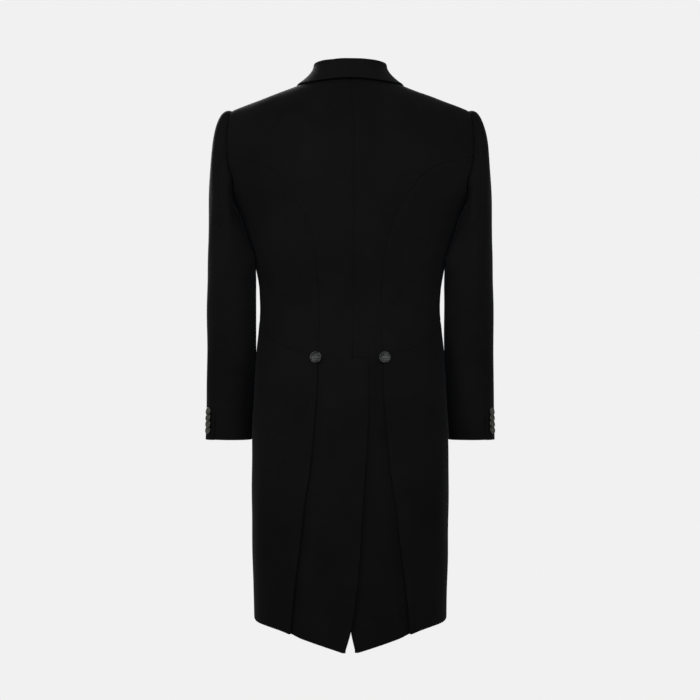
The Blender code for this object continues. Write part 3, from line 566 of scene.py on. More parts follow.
def trough(points, first, last, half_width, depth):
    # A soft trough or ridge along the line between two points, which fades at both ends
    along = last - first
    length = np.linalg.norm(along)
    along = along / length
    reach = np.clip((points - first) @ along / length, -0.25, 1.25)
    off = np.linalg.norm(points - first - np.clip(reach, 0, 1)[..., None] * along * length, axis=-1)
    bend = CREASE_BEND * half_width * np.sin(reach * CREASE_BEND_TURNS)
    return depth * band(reach, *CREASE_FADE) * np.exp(-((off + bend) / half_width) ** 2)


def slow_waves(points):
    x, y, z = (points[..., k] / SLOW_LENGTH * 2 * math.pi for k in range(3))
    wave = np.sin(0.83 * x + 0.31 * z + 1.3) * np.cos(0.37 * z - 0.55 * y + 0.4)
    wave = wave + 0.6 * np.sin(0.42 * x - 0.71 * y + 0.53 * z + 2.1) * np.cos(0.91 * x + 0.2 * z)
    return SLOW_HEIGHT * wave


CREASE_LINES = [
    (body_point(*place(x0, z0)), body_point(*place(x1, z1)), half_width, depth)
    for place, table in ((behind, CREASES_BEHIND), (before, CREASES_BEFORE))
    for x0, z0, x1, z1, half_width, depth in table
]


def calm(points):
    # 1 where the sleeve lies close to the body, so that the cloth there stays plain
    x, z = np.abs(points[..., 0]), points[..., 2]
    near = 1 - ease(np.abs(x - curve(SECTIONS, np.minimum(z, CHEST), 1)), *CALM_REACH)
    return near * band(z, *CALM_HEIGHTS)


def drape(points):
    # How far the cloth of the body stands out of its plain form
    total = slow_waves(points)
    for line_of in CREASE_LINES:
        total = total + trough(points, *line_of)
    return total * (1 - calm(points))


def pucker(points, near):
    # The short ripples that sewing draws into the cloth beside a seam
    along = points[..., 2] + 0.6 * points[..., 0] + 0.35 * points[..., 1]
    uneven = 0.6 + 0.4 * np.sin(along * 47.0 + 0.7)
    wave = np.sin(along / PUCKER_LENGTH * 2 * math.pi + 1.7 * np.sin(along * 31.0))
    return PUCKER * uneven * wave * np.exp(-(near / PUCKER_REACH) ** 2) * ease(near, 0.0, PUCKER_START)


def to_side(grid, side):
    # The wearer's right side is the left one with X turned round
    return grid * np.array([side, 1.0, 1.0])


def named(stem, side):
    return f"{stem}_{'left' if side > 0 else 'right'}"


def tuck(side, points):
    # How far the right front is tucked in below the left one at the waist
    if side > 0:
        return np.zeros(points.shape[:-1])
    depth = TUCK * band(points[..., 2], *TUCK_HEIGHTS)
    depth = depth * (1 - ease(np.abs(points[..., 0]), TUCK_HALF, 3 * TUCK_HALF))
    return np.where(points[..., 1] > 0, 0.0, depth)


# Solids of cloth

def placed(name, data):
    made = bpy.data.objects.new(name, data)
    bpy.context.scene.collection.objects.link(made)
    return made


def mesh_object(name, points, faces, finish):
    mesh = bpy.data.meshes.new(name)
    mesh.from_pydata(np.asarray(points, float).tolist(), [], faces)
    mesh.update()
    mesh.shade_smooth()
    mesh.materials.append(finish)
    return placed(name, mesh)


def wall(name, side, outer, inner, kept, finish):
    # One closed shell between two grids of points, with a rim round each edge of its kept cells
    outer, inner = to_side(outer, side), to_side(inner, side)
    used = np.logical_or.reduce(cells_round(kept))
    number = np.cumsum(used).reshape(used.shape) - 1
    count = int(used.sum())
    points = np.concatenate([outer[used], inner[used]])
    i, j = np.nonzero(kept)
    a, b, c, d = number[i, j], number[i, j + 1], number[i + 1, j + 1], number[i + 1, j]
    faces = [np.column_stack([a, b, c, d]), np.column_stack([d, c, b, a]) + count]
    padded = np.pad(kept, 1)
    for (di, dj), (start, end) in (((-1, 0), (a, b)), ((0, 1), (b, c)), ((1, 0), (c, d)), ((0, -1), (d, a))):
        rim = ~padded[i + 1 + di, j + 1 + dj]
        s, e = start[rim], end[rim]
        faces.append(np.column_stack([e, s, s + count, e + count]))
    faces = np.concatenate(faces)
    corners = points[faces]
    first = corners[:, 0]
    volume = sum(np.sum(first * np.cross(corners[:, k], corners[:, k + 1])) for k in (1, 2))
    if volume < 0:
        faces = faces[:, ::-1]
    made = mesh_object(name, points, faces.tolist(), finish)
    # Metres across and down the cloth, for the weave
    across = lengths(outer, 1)
    across -= across[:, outer.shape[1] // 2][:, None]
    spots = np.stack([across[used], lengths(outer, 0)[used]], axis=-1)
    spots = np.concatenate([spots, spots])
    layer = made.data.uv_layers.new(name="cloth")
    layer.data.foreach_set("uv", spots[faces.reshape(-1)].reshape(-1).astype(np.float32))
    return made


def hung(spots, side):
    # How far the body's cloth stands out of its plain form on one side of the coat
    return drape(to_side(spots, side)) - tuck(side, spots)


def sewn(spots, ways, raised, border, free, side):
    # The two faces of a piece of cloth, with its seams drawn in and its edges rounded, and how far
    # they turn in there. Edges that aren't free are seams
    near = distance_to(spots, spots[border])
    seam = 1.0 if free is None else ease(distance_to(spots, spots[free]) - near, 0.0, SEAM_FADE)
    raised = raised - seam * SEAM_DEPTH * np.exp(-(near / SEAM_REACH) ** 2)
    raised = raised + seam * pucker(to_side(spots, side), near)
    turned_in = EDGE_DEPTH * (1 - np.clip(near / EDGE_REACH, 0, 1)) ** 2
    outer = spots + ways * (raised - turned_in)[..., None]
    inner = spots + ways * (raised - CLOTH + turned_in)[..., None]
    return outer, inner, turned_in


def body_panel(stem, side, patch, kept, finish, lift=0.0, free=None):
    # A panel of cloth on the body, and its outer face
    spots, ways = on_body(patch)
    outer, inner, _ = sewn(spots, ways, lift + hung(spots, side), border_of(kept), free, side)
    return wall(named(stem, side), side, outer, inner, kept, finish), outer


def with_fold(fold, face):
    # A face of cloth with the columns of its fold set before it
    return np.concatenate([np.stack(fold, axis=1), face], axis=1)


# Corners and edges that two pieces share, on the wearer's left

HIP = behind(*SIDE_SEAM[-1])
UNDERARM_TOP = (UNDERARM_TURN, ARMHOLE_BOTTOM)
UNDERARM_WAIST = (UNDERARM_TURN, UNDERARM_WAIST_HEIGHT)
FRONT_WAIST = before(-OVERLAP, WAIST_FRONT)


def armhole(part):
    points = {
        "back": [behind(SHOULDER_HALF), *(behind(*p) for p in ARMHOLE_BACK)],
        "under": [*(behind(*p) for p in ARMHOLE_UNDER), UNDERARM_TOP],
        "front": [before(SHOULDER_HALF), *(before(*p) for p in ARMHOLE_FRONT), UNDERARM_TOP],
    }
    return even(points[part], ARMHOLE_STEPS[part])


def line(table, steps):
    return even([behind(x, z) for x, z in table], steps)


def neck_points(first, last):
    return [over_shoulder(row[0], row[1]) for row in COLLAR[first:last]]


def in_radians(table):
    return [(math.radians(degrees), height) for degrees, height in table]


def waist_seam(start, end, steps):
    # A stretch of the waist seam, from one of its points round to another
    marks = [mark for mark in in_radians(WAIST_SEAM) if start[0] + MARK_GAP < mark[0] < end[0] - MARK_GAP]
    return even([start, *marks, end], steps)


def underarm_seam():
    return even([UNDERARM_TOP, UNDERARM_WAIST], SEAM_ROWS)


def roll_line(steps):
    # Straight from the end of the collar to the waist button, seen from the front
    top = body_point(*over_shoulder(*COLLAR[-1][:2]))
    heights = np.linspace(top[2], ROLL_BOTTOM, 5)
    return even([before(x, z) for x, z in zip(np.linspace(top[0], -OVERLAP, 5), heights)], steps)


def cloth_per_turn(turn, level):
    # Metres of cloth for each radian of turn
    across = body_point(turn + STEP, level) - body_point(turn - STEP, level)
    return np.linalg.norm(across, axis=-1) / (2 * STEP)


def moved(points, distance):
    # Points of the body moved round it by a distance, towards the front
    shift = distance / cloth_per_turn(points[..., 0], points[..., 1])
    return np.stack([points[..., 0] + shift, points[..., 1]], axis=-1)


# Pieces of the body

def centre_x(height, side):
    # The centre back seam lies a little to the wearer's right, and the tails part below the vent
    if height > VENT_TOP:
        return side * float(curve(CENTRE_SEAM, height, 1))
    down = (height - VENT_TOP) / (HEM_CENTRE - VENT_TOP)
    return side * CENTRE_SEAM[0][1] * (1 - down) + VENT_FOLD_AT_HEM * down


def vent_x(height, side):
    # The free edge at the centre: the left tail's overlap, or the right tail's underlay
    table = [(z, x) for x, z in reversed(VENT_EDGE if side > 0 else VENT_UNDER)]
    return side * float(curve(table, height, 1))


def strip(first, last, steps):
    # Columns between two edges, without the last one
    share = np.arange(steps * FINE)[None, :, None] / (steps * FINE)
    return first[:, None] * (1 - share) + last[:, None] * share


def fine_patch(patch, kept=None, row_edges=(), column_edges=()):
    # The patch with rows and columns crowded at its edges, its kept cells, and its coarse places
    spots = body_point(patch[..., 0], patch[..., 1])
    last_row, last_column = patch.shape[0] - 1, patch.shape[1] - 1
    row_edges = [0, last_row, *(edge * FINE for edge in row_edges)]
    column_edges = [0, last_column, *(edge * FINE for edge in column_edges)]
    rows = crowded(last_row, lengths(spots, 0)[-1].max(), row_edges)
    columns = crowded(last_column, lengths(spots, 1)[:, -1].mean(), column_edges)
    fine = sampled(patch, rows, columns)
    cells = all_cells(fine) if kept is None else kept_fine(kept, rows, columns)
    return fine, cells, rows / FINE, columns / FINE


def back(side, finish):
    # From the collar to the hem in one: shoulder, armhole, side-body seam and pleat
    outside = np.vstack([armhole("back"), line(SIDE_SEAM, SEAM_ROWS)[1:], line(PLEAT_LINE, TAIL_ROWS)[1:]])
    hip = ARMHOLE_STEPS["back"] + SEAM_ROWS
    levels = [over_shoulder(*COLLAR[0][:2])[1]]
    ends = (CENTRE_AT_ARMHOLE, VENT_TOP, HEM_CENTRE)
    for end, steps in zip(ends, (ARMHOLE_STEPS["back"], SEAM_ROWS, TAIL_ROWS)):
        levels.extend(np.linspace(levels[-1], end, steps * FINE + 1)[1:])
    heights = body_point(0.0, np.array(levels))[..., 2]
    centre, vent = (np.array([(behind(x_of(z, side), min(z, CHEST))[0], v) for z, v in zip(heights, levels)])
                    for x_of in (centre_x, vent_x))
    neck = even([tuple(centre[0]), *neck_points(1, 4), behind(NECK_HALF)], NECK_STEPS, by_turn=True)
    ridge = np.linspace(NECK_HALF, SHOULDER_HALF, (BACK_STEPS - NECK_STEPS) * FINE + 1)[1:]
    top = np.vstack([neck, [behind(x) for x in ridge]])
    main = patch_between(top, even([centre[-1], outside[-1]], BACK_STEPS), centre, outside, NECK_FADE)
    under = moved(outside, TAIL_UNDER)
    hidden = strip(outside, under, 1)[:, 1:]
    patch = np.concatenate([strip(vent, centre, VENT_STEPS), main, hidden, under[:, None]], axis=1)
    pleat = VENT_STEPS + BACK_STEPS
    kept = np.ones((hip + TAIL_ROWS, pleat + 1), bool)
    kept[:hip, :VENT_STEPS] = False
    kept[:hip, -1:] = False
    fine, cells, row_at, column_at = fine_patch(patch, kept, [hip], [VENT_STEPS, pleat])
    cells[np.ix_(row_at[1:] < hip + PLEAT_START, column_at[:-1] >= pleat)] = False
    spots = body_point(fine[..., 0], fine[..., 1])
    edge = sampled(patch, row_at * FINE, np.array([float(pleat * FINE)]))
    near = np.linalg.norm(spots - body_point(edge[..., 0], edge[..., 1]), axis=2)
    near[:, column_at >= pleat] = 0.0
    down = ease(row_at, hip, hip + TAIL_ROWS)[:, None]
    sink = (TAIL_SINK + PLEAT_DEEPER * down) * ease(row_at - hip, 0, PLEAT_START)[:, None]
    lift = -sink * (1 - ease(near, 0.0, TAIL_EASE))
    vent_edge = [(z, x) for x, z in reversed(VENT_EDGE)]
    if side < 0:
        row_heights = np.interp(row_at * FINE, np.arange(len(heights)), heights)
        off = spots[..., 0] + curve(vent_edge, row_heights, 1)[:, None]
        lift -= VENT_STEP * (1 - ease(off, VENT_CLEAR, VENT_EASE)) * np.clip(row_at - hip + 1, 0, 1)[:, None]
        lift -= VENT_DEEPER * (1 - ease(off, 0.0, VENT_SLOPE)) * ease(down, 0.0, VENT_FULL["under"])
    else:
        off = spots[..., 0] - curve(vent_edge, spots[..., 2], 1)
        lift += VENT_LIFT * (1 - ease(off, 0.0, VENT_LIFT_REACH)) * ease(down, 0.0, VENT_FULL["over"])
    free = border_of(cells) & (row_at >= hip + 0.01)[:, None]
    return body_panel("back", side, fine, cells, finish, lift, free)


def sidebody(side, finish):
    # Between the side-body seam and the underarm seam, from the armhole down to the waist seam
    bottom = waist_seam(HIP, UNDERARM_WAIST, ARMHOLE_STEPS["under"])
    patch = patch_between(armhole("under"), bottom, line(SIDE_SEAM, SEAM_ROWS), underarm_seam())
    return body_panel("sidebody", side, *fine_patch(patch)[:2], finish)


def forepart(side, finish):
    # From the shoulder to the waist seam, with its front edge along the neck and the lapel's roll line
    neck = even([before(NECK_HALF), *neck_points(-2, None)], NECK_STEPS)
    roll = roll_line(ARMHOLE_STEPS["front"] + SEAM_ROWS - NECK_STEPS - FRONT_ROWS)
    front = even([tuple(roll[-1]), FRONT_WAIST], FRONT_ROWS)
    inside = np.vstack([neck, roll[1:], front[1:]])
    share = np.linspace(0.0, 1.0, len(inside))
    inside = np.column_stack([np.interp(share ** FRONT_CROWDING, share, inside[:, c]) for c in (0, 1)])
    outside = np.vstack([armhole("front"), underarm_seam()[1:]])
    top = np.array([before(x) for x in np.linspace(NECK_HALF, SHOULDER_HALF, FORE_STEPS * FINE + 1)])
    bottom = waist_seam(UNDERARM_WAIST, FRONT_WAIST, FORE_STEPS)[::-1]
    return body_panel("forepart", side, *fine_patch(patch_between(top, bottom, inside, outside))[:2], finish)


def skirt(side, finish):
    # From the waist seam to the hem, with a folded pleat edge behind and a cutaway edge in front
    pleat = line(PLEAT_LINE, TAIL_ROWS)
    left = moved(pleat, FOLD_RADIUS)
    top = np.vstack([waist_seam(HIP, UNDERARM_WAIST, ARMHOLE_STEPS["under"]),
                     waist_seam(UNDERARM_WAIST, FRONT_WAIST, FORE_STEPS)[1:]])
    top[0] = left[0]
    front = even([FRONT_WAIST, *in_radians(FRONT_EDGE)], TAIL_ROWS)
    bottom = even([tuple(left[-1]), *in_radians(SKIRT_HEM), tuple(front[-1])], (len(top) - 1) // FINE)
    fine, cells, row_at, _ = fine_patch(patch_between(top, bottom, left, front))
    spots, ways = on_body(fine)
    border = border_of(cells)
    border[1:, 0] = False
    free = border.copy()
    free[0] = False
    outer, inner, turned_in = sewn(spots, ways, hung(spots, side), border, free, side)
    # The fold at the back edge: a return under the skirt, then a half turn
    edge = sampled(pleat[:, None].repeat(2, axis=1), row_at * FINE, np.array([0.0]))[:, 0]
    start = body_point(edge[:, 0], edge[:, 1])
    out = ways[:, 0]
    shift = outer[:, 0] - spots[:, 0] + turned_in[:, :1] * out
    along = unit(spots[:, 0] - start)
    along_hem = np.linalg.norm(spots[-1] - spots[-1, 0], axis=1)
    near_hem = ease(row_at, TAIL_ROWS - 2, TAIL_ROWS)
    folds = ([], [])
    for reach in np.linspace(PLEAT_RETURN, PLEAT_RETURN_END, PLEAT_RETURN_STEPS):
        point, way = on_body(moved(edge, reach))
        point += shift
        point[:, 2] += near_hem * np.interp(reach, along_hem, spots[-1, :, 2] - spots[-1, 0, 2])
        for fold, depth in zip(folds, (2 * FOLD_RADIUS, 2 * FOLD_RADIUS - CLOTH)):
            fold.append(point - way * depth)
    for turn in np.radians(np.linspace(180, 12, FOLD_STEPS)):
        for fold, radius in zip(folds, (FOLD_RADIUS, FOLD_RADIUS - CLOTH)):
            reach = FOLD_RADIUS - radius * math.sin(turn)
            fold.append(start + shift + along * reach - out * (FOLD_RADIUS - radius * math.cos(turn)))
    outer, inner = with_fold(folds[0], outer), with_fold(folds[1], inner)
    return wall(named("skirt", side), side, outer, inner, all_cells(outer), finish), outer


def lapel(side, finish):
    # A peak lapel, rolled over from the forepart's front edge and lying on the forepart
    roll = roll_line(LAPEL_ROWS)
    down = np.linspace(0.0, 1.0, len(roll))
    turns, levels = roll[:, 0], roll[:, 1] - LAPEL_START * (1 - down)
    width, rise, high = (curve(LAPEL, down, c) for c in (1, 2, 3))
    width = width / cloth_per_turn(turns, levels)
    last_row, last_column = len(roll) - 1, LAPEL_STEPS * FINE
    u = np.linspace(0.0, 1.0, last_column + 1)
    patch = np.stack([turns[:, None] - width[:, None] * u, levels[:, None] + rise[:, None] * u ** 2], axis=-1)
    rows = crowded(last_row, LAPEL_LENGTH, [0, last_row])
    columns = crowded(last_column, LAPEL_WIDTH, [last_column])
    patch = sampled(patch, rows, columns)
    u = columns / last_column
    high = np.interp(rows, np.arange(len(high)), high)
    low = CLOTH + LAPEL_CLEAR
    lift = low + (high - low)[:, None] * np.minimum(1.0, u / LAPEL_ROLL) * (1 - ease(u, LAPEL_FLAT, 1.0))
    spots, ways = on_body(patch)
    border = border_of(all_cells(spots))
    border[:, 0] = False
    under = hung(spots, side)
    outer, inner, _ = sewn(spots, ways, lift + under, border, border, side)
    # The roll: a half turn of cloth from the forepart's edge up to the lapel
    to_centre = unit(spots[:, 0] - spots[:, 1])
    out = ways[:, 0]
    middle = spots[:, 0] + out * ((low - CLOTH) / 2 + under[:, :1])
    folds = ([], [])
    for turn in np.radians(np.linspace(-90, 90, ROLL_STEPS)[:-1]):
        way = to_centre * math.cos(turn) + out * math.sin(turn)
        for fold, size in zip(folds, (low + CLOTH, low - CLOTH)):
            fold.append(middle + way * size / 2)
    outer, inner = with_fold(folds[0], outer), with_fold(folds[1], inner)
    return wall(named("lapel", side), side, outer, inner, all_cells(outer), finish), outer


# Collar

def collar_section(place, side):
    # The middle line of the collar's cloth at one place along the neck: stand, fold and fall
    rows = [(k, *row) for k, row in enumerate(COLLAR)]
    other = [(-k, -row[0], *row[1:4], -row[4], *row[5:]) for k, row in enumerate(COLLAR) if k]
    seam_x, seam_turn, stand, outward, edge_x, edge_turn, edge_lift = (
        float(curve([*reversed(other), *rows], place * (len(COLLAR) - 1), c)) for c in range(1, 8))
    seam = body_point(*over_shoulder(seam_x, seam_turn))
    edge_at = over_shoulder(edge_x, edge_turn)
    edge = body_point(*edge_at) + body_normal(*edge_at) * (edge_lift - COLLAR_CLOTH / 2)
    out = unit((edge - seam) * np.array([1.0, 1.0, 0.0]))
    top = seam + UP * stand + out * outward
    foot = seam + unit(top - seam) * (COLLAR_CLOTH / 2)
    middle = top + out * COLLAR_FOLD
    points = [foot + (top - foot) * t for t in (0.0, 0.03, 0.08, 0.16, *np.linspace(0.25, 0.92, 9))]
    for turn in np.radians(np.linspace(180, 0, ROLL_STEPS)):
        points.append(middle + out * COLLAR_FOLD * math.cos(turn) + UP * COLLAR_FOLD * math.sin(turn))
    last = points[-1]
    bend = last - UP * min(np.linalg.norm(edge - last), last[2] - edge[2]) * COLLAR_BEND
    for t in (*np.linspace(0.0, 0.94, 22)[1:], 0.965, 0.982, 0.992, 1.0):
        points.append((1 - t) ** 2 * last + 2 * t * (1 - t) * bend + t * t * edge)
    return to_side(np.array(points), side)


def collar(finish):
    places = [*np.linspace(0.0, 1.0, COLLAR_STEPS + 1)[:-1], *(1.0 - end for end in COLLAR_ENDS)]
    middle = np.array([collar_section(p, -1) for p in places[:0:-1]] + [collar_section(p, 1) for p in places])
    ways = unit(np.cross(np.gradient(middle, axis=0), np.gradient(middle, axis=1)))
    cells = all_cells(middle)
    near = distance_to(middle, middle[border_of(cells)])
    thin = COLLAR_CLOTH / 2 - COLLAR_THIN * (1 - np.clip(near / COLLAR_THIN_REACH, 0, 1)) ** 2
    wave = COLLAR_WAVE_SHARE * slow_waves(middle * COLLAR_WAVE_SCALE) * ease(near, 0.0, SEAM_FADE)
    outer, inner = (middle + ways * (wave + way * thin)[..., None] for way in (1, -1))
    return wall("collar", 1, outer, inner, cells, finish), outer


# Sleeves

def armhole_loop():
    # Once round the wearer's left armhole from the shoulder, down behind and up in front
    return on_body(np.vstack([armhole("back"), armhole("under")[1:], armhole("front")[::-1][1:-1]]))


def loop_turns(points):
    # The turn of each point of the armhole about its middle: 0 above, a right angle behind
    coarse = points[::FINE]
    low, high = coarse.min(axis=0), coarse.max(axis=0)
    middle, half = (low + high) / 2, (high - low) / 2
    spots = (coarse - middle) / half
    turns = np.arctan2(spots[:, 1], spots[:, 2]) % (2 * math.pi)
    rows = [(0.0, 0.0), *((k * FINE, turns[k]) for k in range(1, len(turns))), (len(points), 2 * math.pi)]
    return curve(rows, np.arange(len(points)), 1)


def sleeve_ring(turn, height):
    out, back_way = round_point(math.pi / 2 - turn, SLEEVE_SQUARENESS)
    middle_x, middle_y, wide, deep = (curve(SLEEVE[::-1], height, c) for c in range(1, 5))
    x = middle_x + out * wide
    return np.stack([x, middle_y + back_way * deep, height + 0.0 * x], axis=-1)


def sleeve_grid():
    # The sleeve's plain form from the armhole to the cuff, the ways out of it, the turn of each of
    # its columns, and how far its top edge is drawn into the armhole
    loop, loop_ways = armhole_loop()
    turns = loop_turns(loop)
    count, cap_rows, first = len(loop), CAP_ROWS * FINE, SLEEVE[0][0]
    cap = [(CAP[-2][0] - 360.0, *CAP[-2][1:]), *CAP, (CAP[1][0] + 360.0, *CAP[1][1:])]
    aim_x, aim_y, aim_z, out, down = (curve(cap, np.degrees(turns), c) for c in range(1, 6))
    aim = unit(np.stack([aim_x, aim_y, aim_z], axis=-1)) * out[:, None]
    under = ease((1 - np.cos(turns)) / 2, *CAP_UNDER)[:, None]
    start = loop + loop_ways * under * (CLOTH + 2 * LAYER_GAP)
    end = sleeve_ring(turns, first)
    rows = []
    for s in np.arange(cap_rows) / cap_rows:
        rows.append((2 * s ** 3 - 3 * s ** 2 + 1) * start + (s ** 3 - 2 * s ** 2 + s) * aim
                    + (3 * s ** 2 - 2 * s ** 3) * end - (s ** 3 - s ** 2) * down[:, None] * UP)
    at_cuff = np.radians(np.interp(np.arange(count), [0, HIND_SEAM * FINE, FORE_SEAM * FINE, count],
                                   [0.0, HIND_TURN_AT_CUFF, FORE_TURN_AT_CUFF, 360.0]))
    upper = np.linspace(first, CUFF_VENT_TOP, (ARM_ROWS - CUFF_ROWS) * FINE + 1)
    lower = np.linspace(CUFF_VENT_TOP, SLEEVE[-1][0], CUFF_ROWS * FINE + 1)[1:]
    for height in (*upper, *lower):
        blend = ease(height, first, SEAMS_TURNED)
        rows.append(sleeve_ring(turns * (1 - blend) + at_cuff * blend, height))
    grid = np.array(rows)
    ways = unit(np.cross(np.roll(grid, -1, axis=1) - np.roll(grid, 1, axis=1), np.gradient(grid, axis=0)))
    if np.sum((ways * (grid - grid.mean(axis=1)[:, None]))[cap_rows:]) < 0:
        ways = -ways
    blend = (1 - np.clip(np.arange(len(grid)) / FINE, 0, 1))[:, None, None] * 0.5
    ways = unit(ways * (1 - blend) + loop_ways[None] * blend)
    leant(grid)
    inward = unit(np.cross(np.roll(loop, -1, axis=0) - np.roll(loop, 1, axis=0), loop_ways))
    inward = np.where(np.sum(inward * (loop.mean(axis=0) - loop), axis=1)[:, None] > 0, inward, -inward)
    sunk = under * inward * SLEEVE_INSET - (under + ARMHOLE_SINK) * loop_ways * SLEEVE_SINK
    return grid, ways, np.degrees(turns), sunk


def leant(grid):
    # Below the armhole the sleeve lies against the side of the body
    x, y, z = grid[..., 0], grid[..., 1], grid[..., 2]
    wide, middle, back, front = (curve(SECTIONS, z, c) for c in (1, 2, 3, 4))
    share = np.clip((y - middle) / (np.where(y > middle, back, front) - middle), 0.0, 0.999)
    side_x = wide * (1 - share ** BODY_SQUARENESS) ** (1 / BODY_SQUARENESS)
    inner = ease(curve(SLEEVE[::-1], z, 1) - x, 0.0, LEAN_INNER)
    wanted = np.maximum(side_x + LEAN_CLEAR, curve(LEAN_LINE, z, 1))
    x -= band(z, *LEAN_HEIGHTS) * band(y, *LEAN_DEPTHS) * inner * np.maximum(x - wanted, 0.0)


def sleeves(side, finish):
    grid, ways, degrees, sunk = sleeve_grid()
    last_row, count = grid.shape[0] - 1, grid.shape[1]
    vent = CAP_ROWS + ARM_ROWS - CUFF_ROWS
    places = np.arange(last_row + 1) / FINE

    def spot(turn, height):
        column = np.argmin(np.abs((degrees - turn + 180) % 360 - 180))
        return grid[np.argmin(np.abs(grid[:, column, 2] - height)), column]

    bulge = slow_waves(to_side(grid, side) + SLEEVE_WAVE_SHIFT)
    for t0, z0, t1, z1, half_width, depth in SLEEVE_CREASES[side]:
        bulge += trough(grid, spot(t0, z0), spot(t1, z1), half_width, depth)
    bulge *= ease(places, 0.0, SLEEVE_WAVE_START)[:, None] * (1 - calm(grid))
    made = {}
    for stem, first, last in (("top_sleeve", FORE_SEAM * FINE, count + HIND_SEAM * FINE),
                              ("under_sleeve", (HIND_SEAM - CUFF_UNDER) * FINE, FORE_SEAM * FINE)):
        picked = np.arange(first, last + 1) % count
        last_column = last - first
        points, raised = grid[:, picked], bulge[:, picked]
        kept = np.ones((last_row // FINE, last_column // FINE), bool)
        edges = [0, last_column]
        if stem == "under_sleeve":
            kept[:vent + 1, :CUFF_UNDER] = False
            edges.append(CUFF_UNDER * FINE)
            share = np.interp(np.arange(last_column + 1) / FINE,
                              [0, CUFF_UNDER, CUFF_UNDER + 1, CUFF_UNDER + 2],
                              [CUFF_STEP, CUFF_STEP, CUFF_STEP_AT_SEAM, 0.0])
            raised = raised - share[None] * np.clip(places - vent, 0, 1)[:, None]
        rows = crowded(last_row, lengths(points, 0)[-1].mean(), [0, last_row])
        columns = crowded(last_column, lengths(points, 1)[:, -1].mean(), edges)
        points, out = sampled(points, rows, columns), unit(sampled(ways[:, picked], rows, columns))
        raised = sampled(raised[..., None], rows, columns)[..., 0]
        turned = sampled(sunk[picked][None].repeat(2, axis=0), np.array([0.0]), columns)
        down = np.linalg.norm(points - points[:1], axis=-1)
        points = points + turned * ((1 - np.clip(down / SLEEVE_TURN_IN, 0, 1)) ** 2)[..., None]
        cells = kept_fine(kept, rows, columns)
        border = border_of(cells)
        free = border & (rows / FINE > vent + 0.02)[:, None]
        outer, inner, _ = sewn(points, out, raised, border, free, side)
        node = named(stem, side)
        made[node] = wall(node, side, outer, inner, cells, finish), outer
    return made


# Buttons and thread

def circle(sides):
    turns = np.linspace(0, 2 * math.pi, sides, endpoint=False)
    return np.stack([np.cos(turns), np.sin(turns), 0 * turns], axis=-1)


def ring_solid(name, rings, closed, finish):
    # A turned form through equal rings of points, closed by a point at each end
    count, sides = np.shape(rings)[:2]
    first, last = count * sides, count * sides + 1
    faces = []
    for k in range(sides):
        n = (k + 1) % sides
        faces.extend((a + k, a + n, a + sides + n, a + sides + k) for a in range(0, first - sides, sides))
        faces.extend([(first, n, k), (last, first - sides + k, first - sides + n)])
    return mesh_object(name, [*np.reshape(rings, (-1, 3)), *closed], faces, finish)


# Columns: reach and height of a turned horn button, as shares of its radius and thickness
BUTTON_PROFILE = (
    (0.3, 0.02), (0.6, 0.0), (0.84, 0.02), (0.93, 0.1), (0.985, 0.26), (1.0, 0.45), (0.995, 0.64),
    (0.97, 0.82), (0.925, 0.95), (0.87, 1.0), (0.82, 0.985), (0.775, 0.91), (0.74, 0.81), (0.7, 0.73),
    (0.62, 0.685), (0.48, 0.655), (0.34, 0.64), (0.18, 0.63),
)
BUTTON_WELL = BUTTON_PROFILE[-1][1]
BUTTON_SIDES = 64
HOLE_PROFILE = ((1.0, -0.5), (1.0, 0.52), (1.12, 0.6), (1.45, 0.665), (1.45, 1.4))
HOLE_SIDES = 16
HOLE_RADIUS = 0.105
HOLE_AT = 0.225
THREAD_RADIUS = 0.00022
THREAD_SIDES = 6
THREAD_OFFSETS = (-0.32, 0.32)
BUTTON_SHARP = 38.0


def holes(radius):
    # The middles of a button's four holes
    turns = math.pi / 4 + np.arange(4) * math.pi / 2
    return np.stack([np.cos(turns), np.sin(turns), 0 * turns], axis=-1) * HOLE_AT * radius * math.sqrt(2)


def strands(name, runs, finish):
    # Several round strands in one mesh, each through a few points
    points, faces = [], []
    for run in runs:
        start = len(points)
        ways = unit(np.gradient(run, axis=0))
        lead = UP if abs(ways[0][2]) < 0.9 else np.array([1.0, 0.0, 0.0])
        for point, way in zip(run, ways):
            right = unit(np.cross(lead, way))
            top = np.cross(way, right)
            lead = top if abs(top @ way) < 0.5 else lead
            points.extend(point + THREAD_RADIUS * (c * right + s * top) for c, s, _ in circle(THREAD_SIDES))
        for a in range(start, len(points) - THREAD_SIDES, THREAD_SIDES):
            for k in range(THREAD_SIDES):
                n = (k + 1) % THREAD_SIDES
                faces.append((a + k, a + n, a + THREAD_SIDES + n, a + THREAD_SIDES + k))
        faces.append(tuple(range(start, start + THREAD_SIDES))[::-1])
        faces.append(tuple(range(len(points) - THREAD_SIDES, len(points))))
    return mesh_object(name, points, faces, finish)


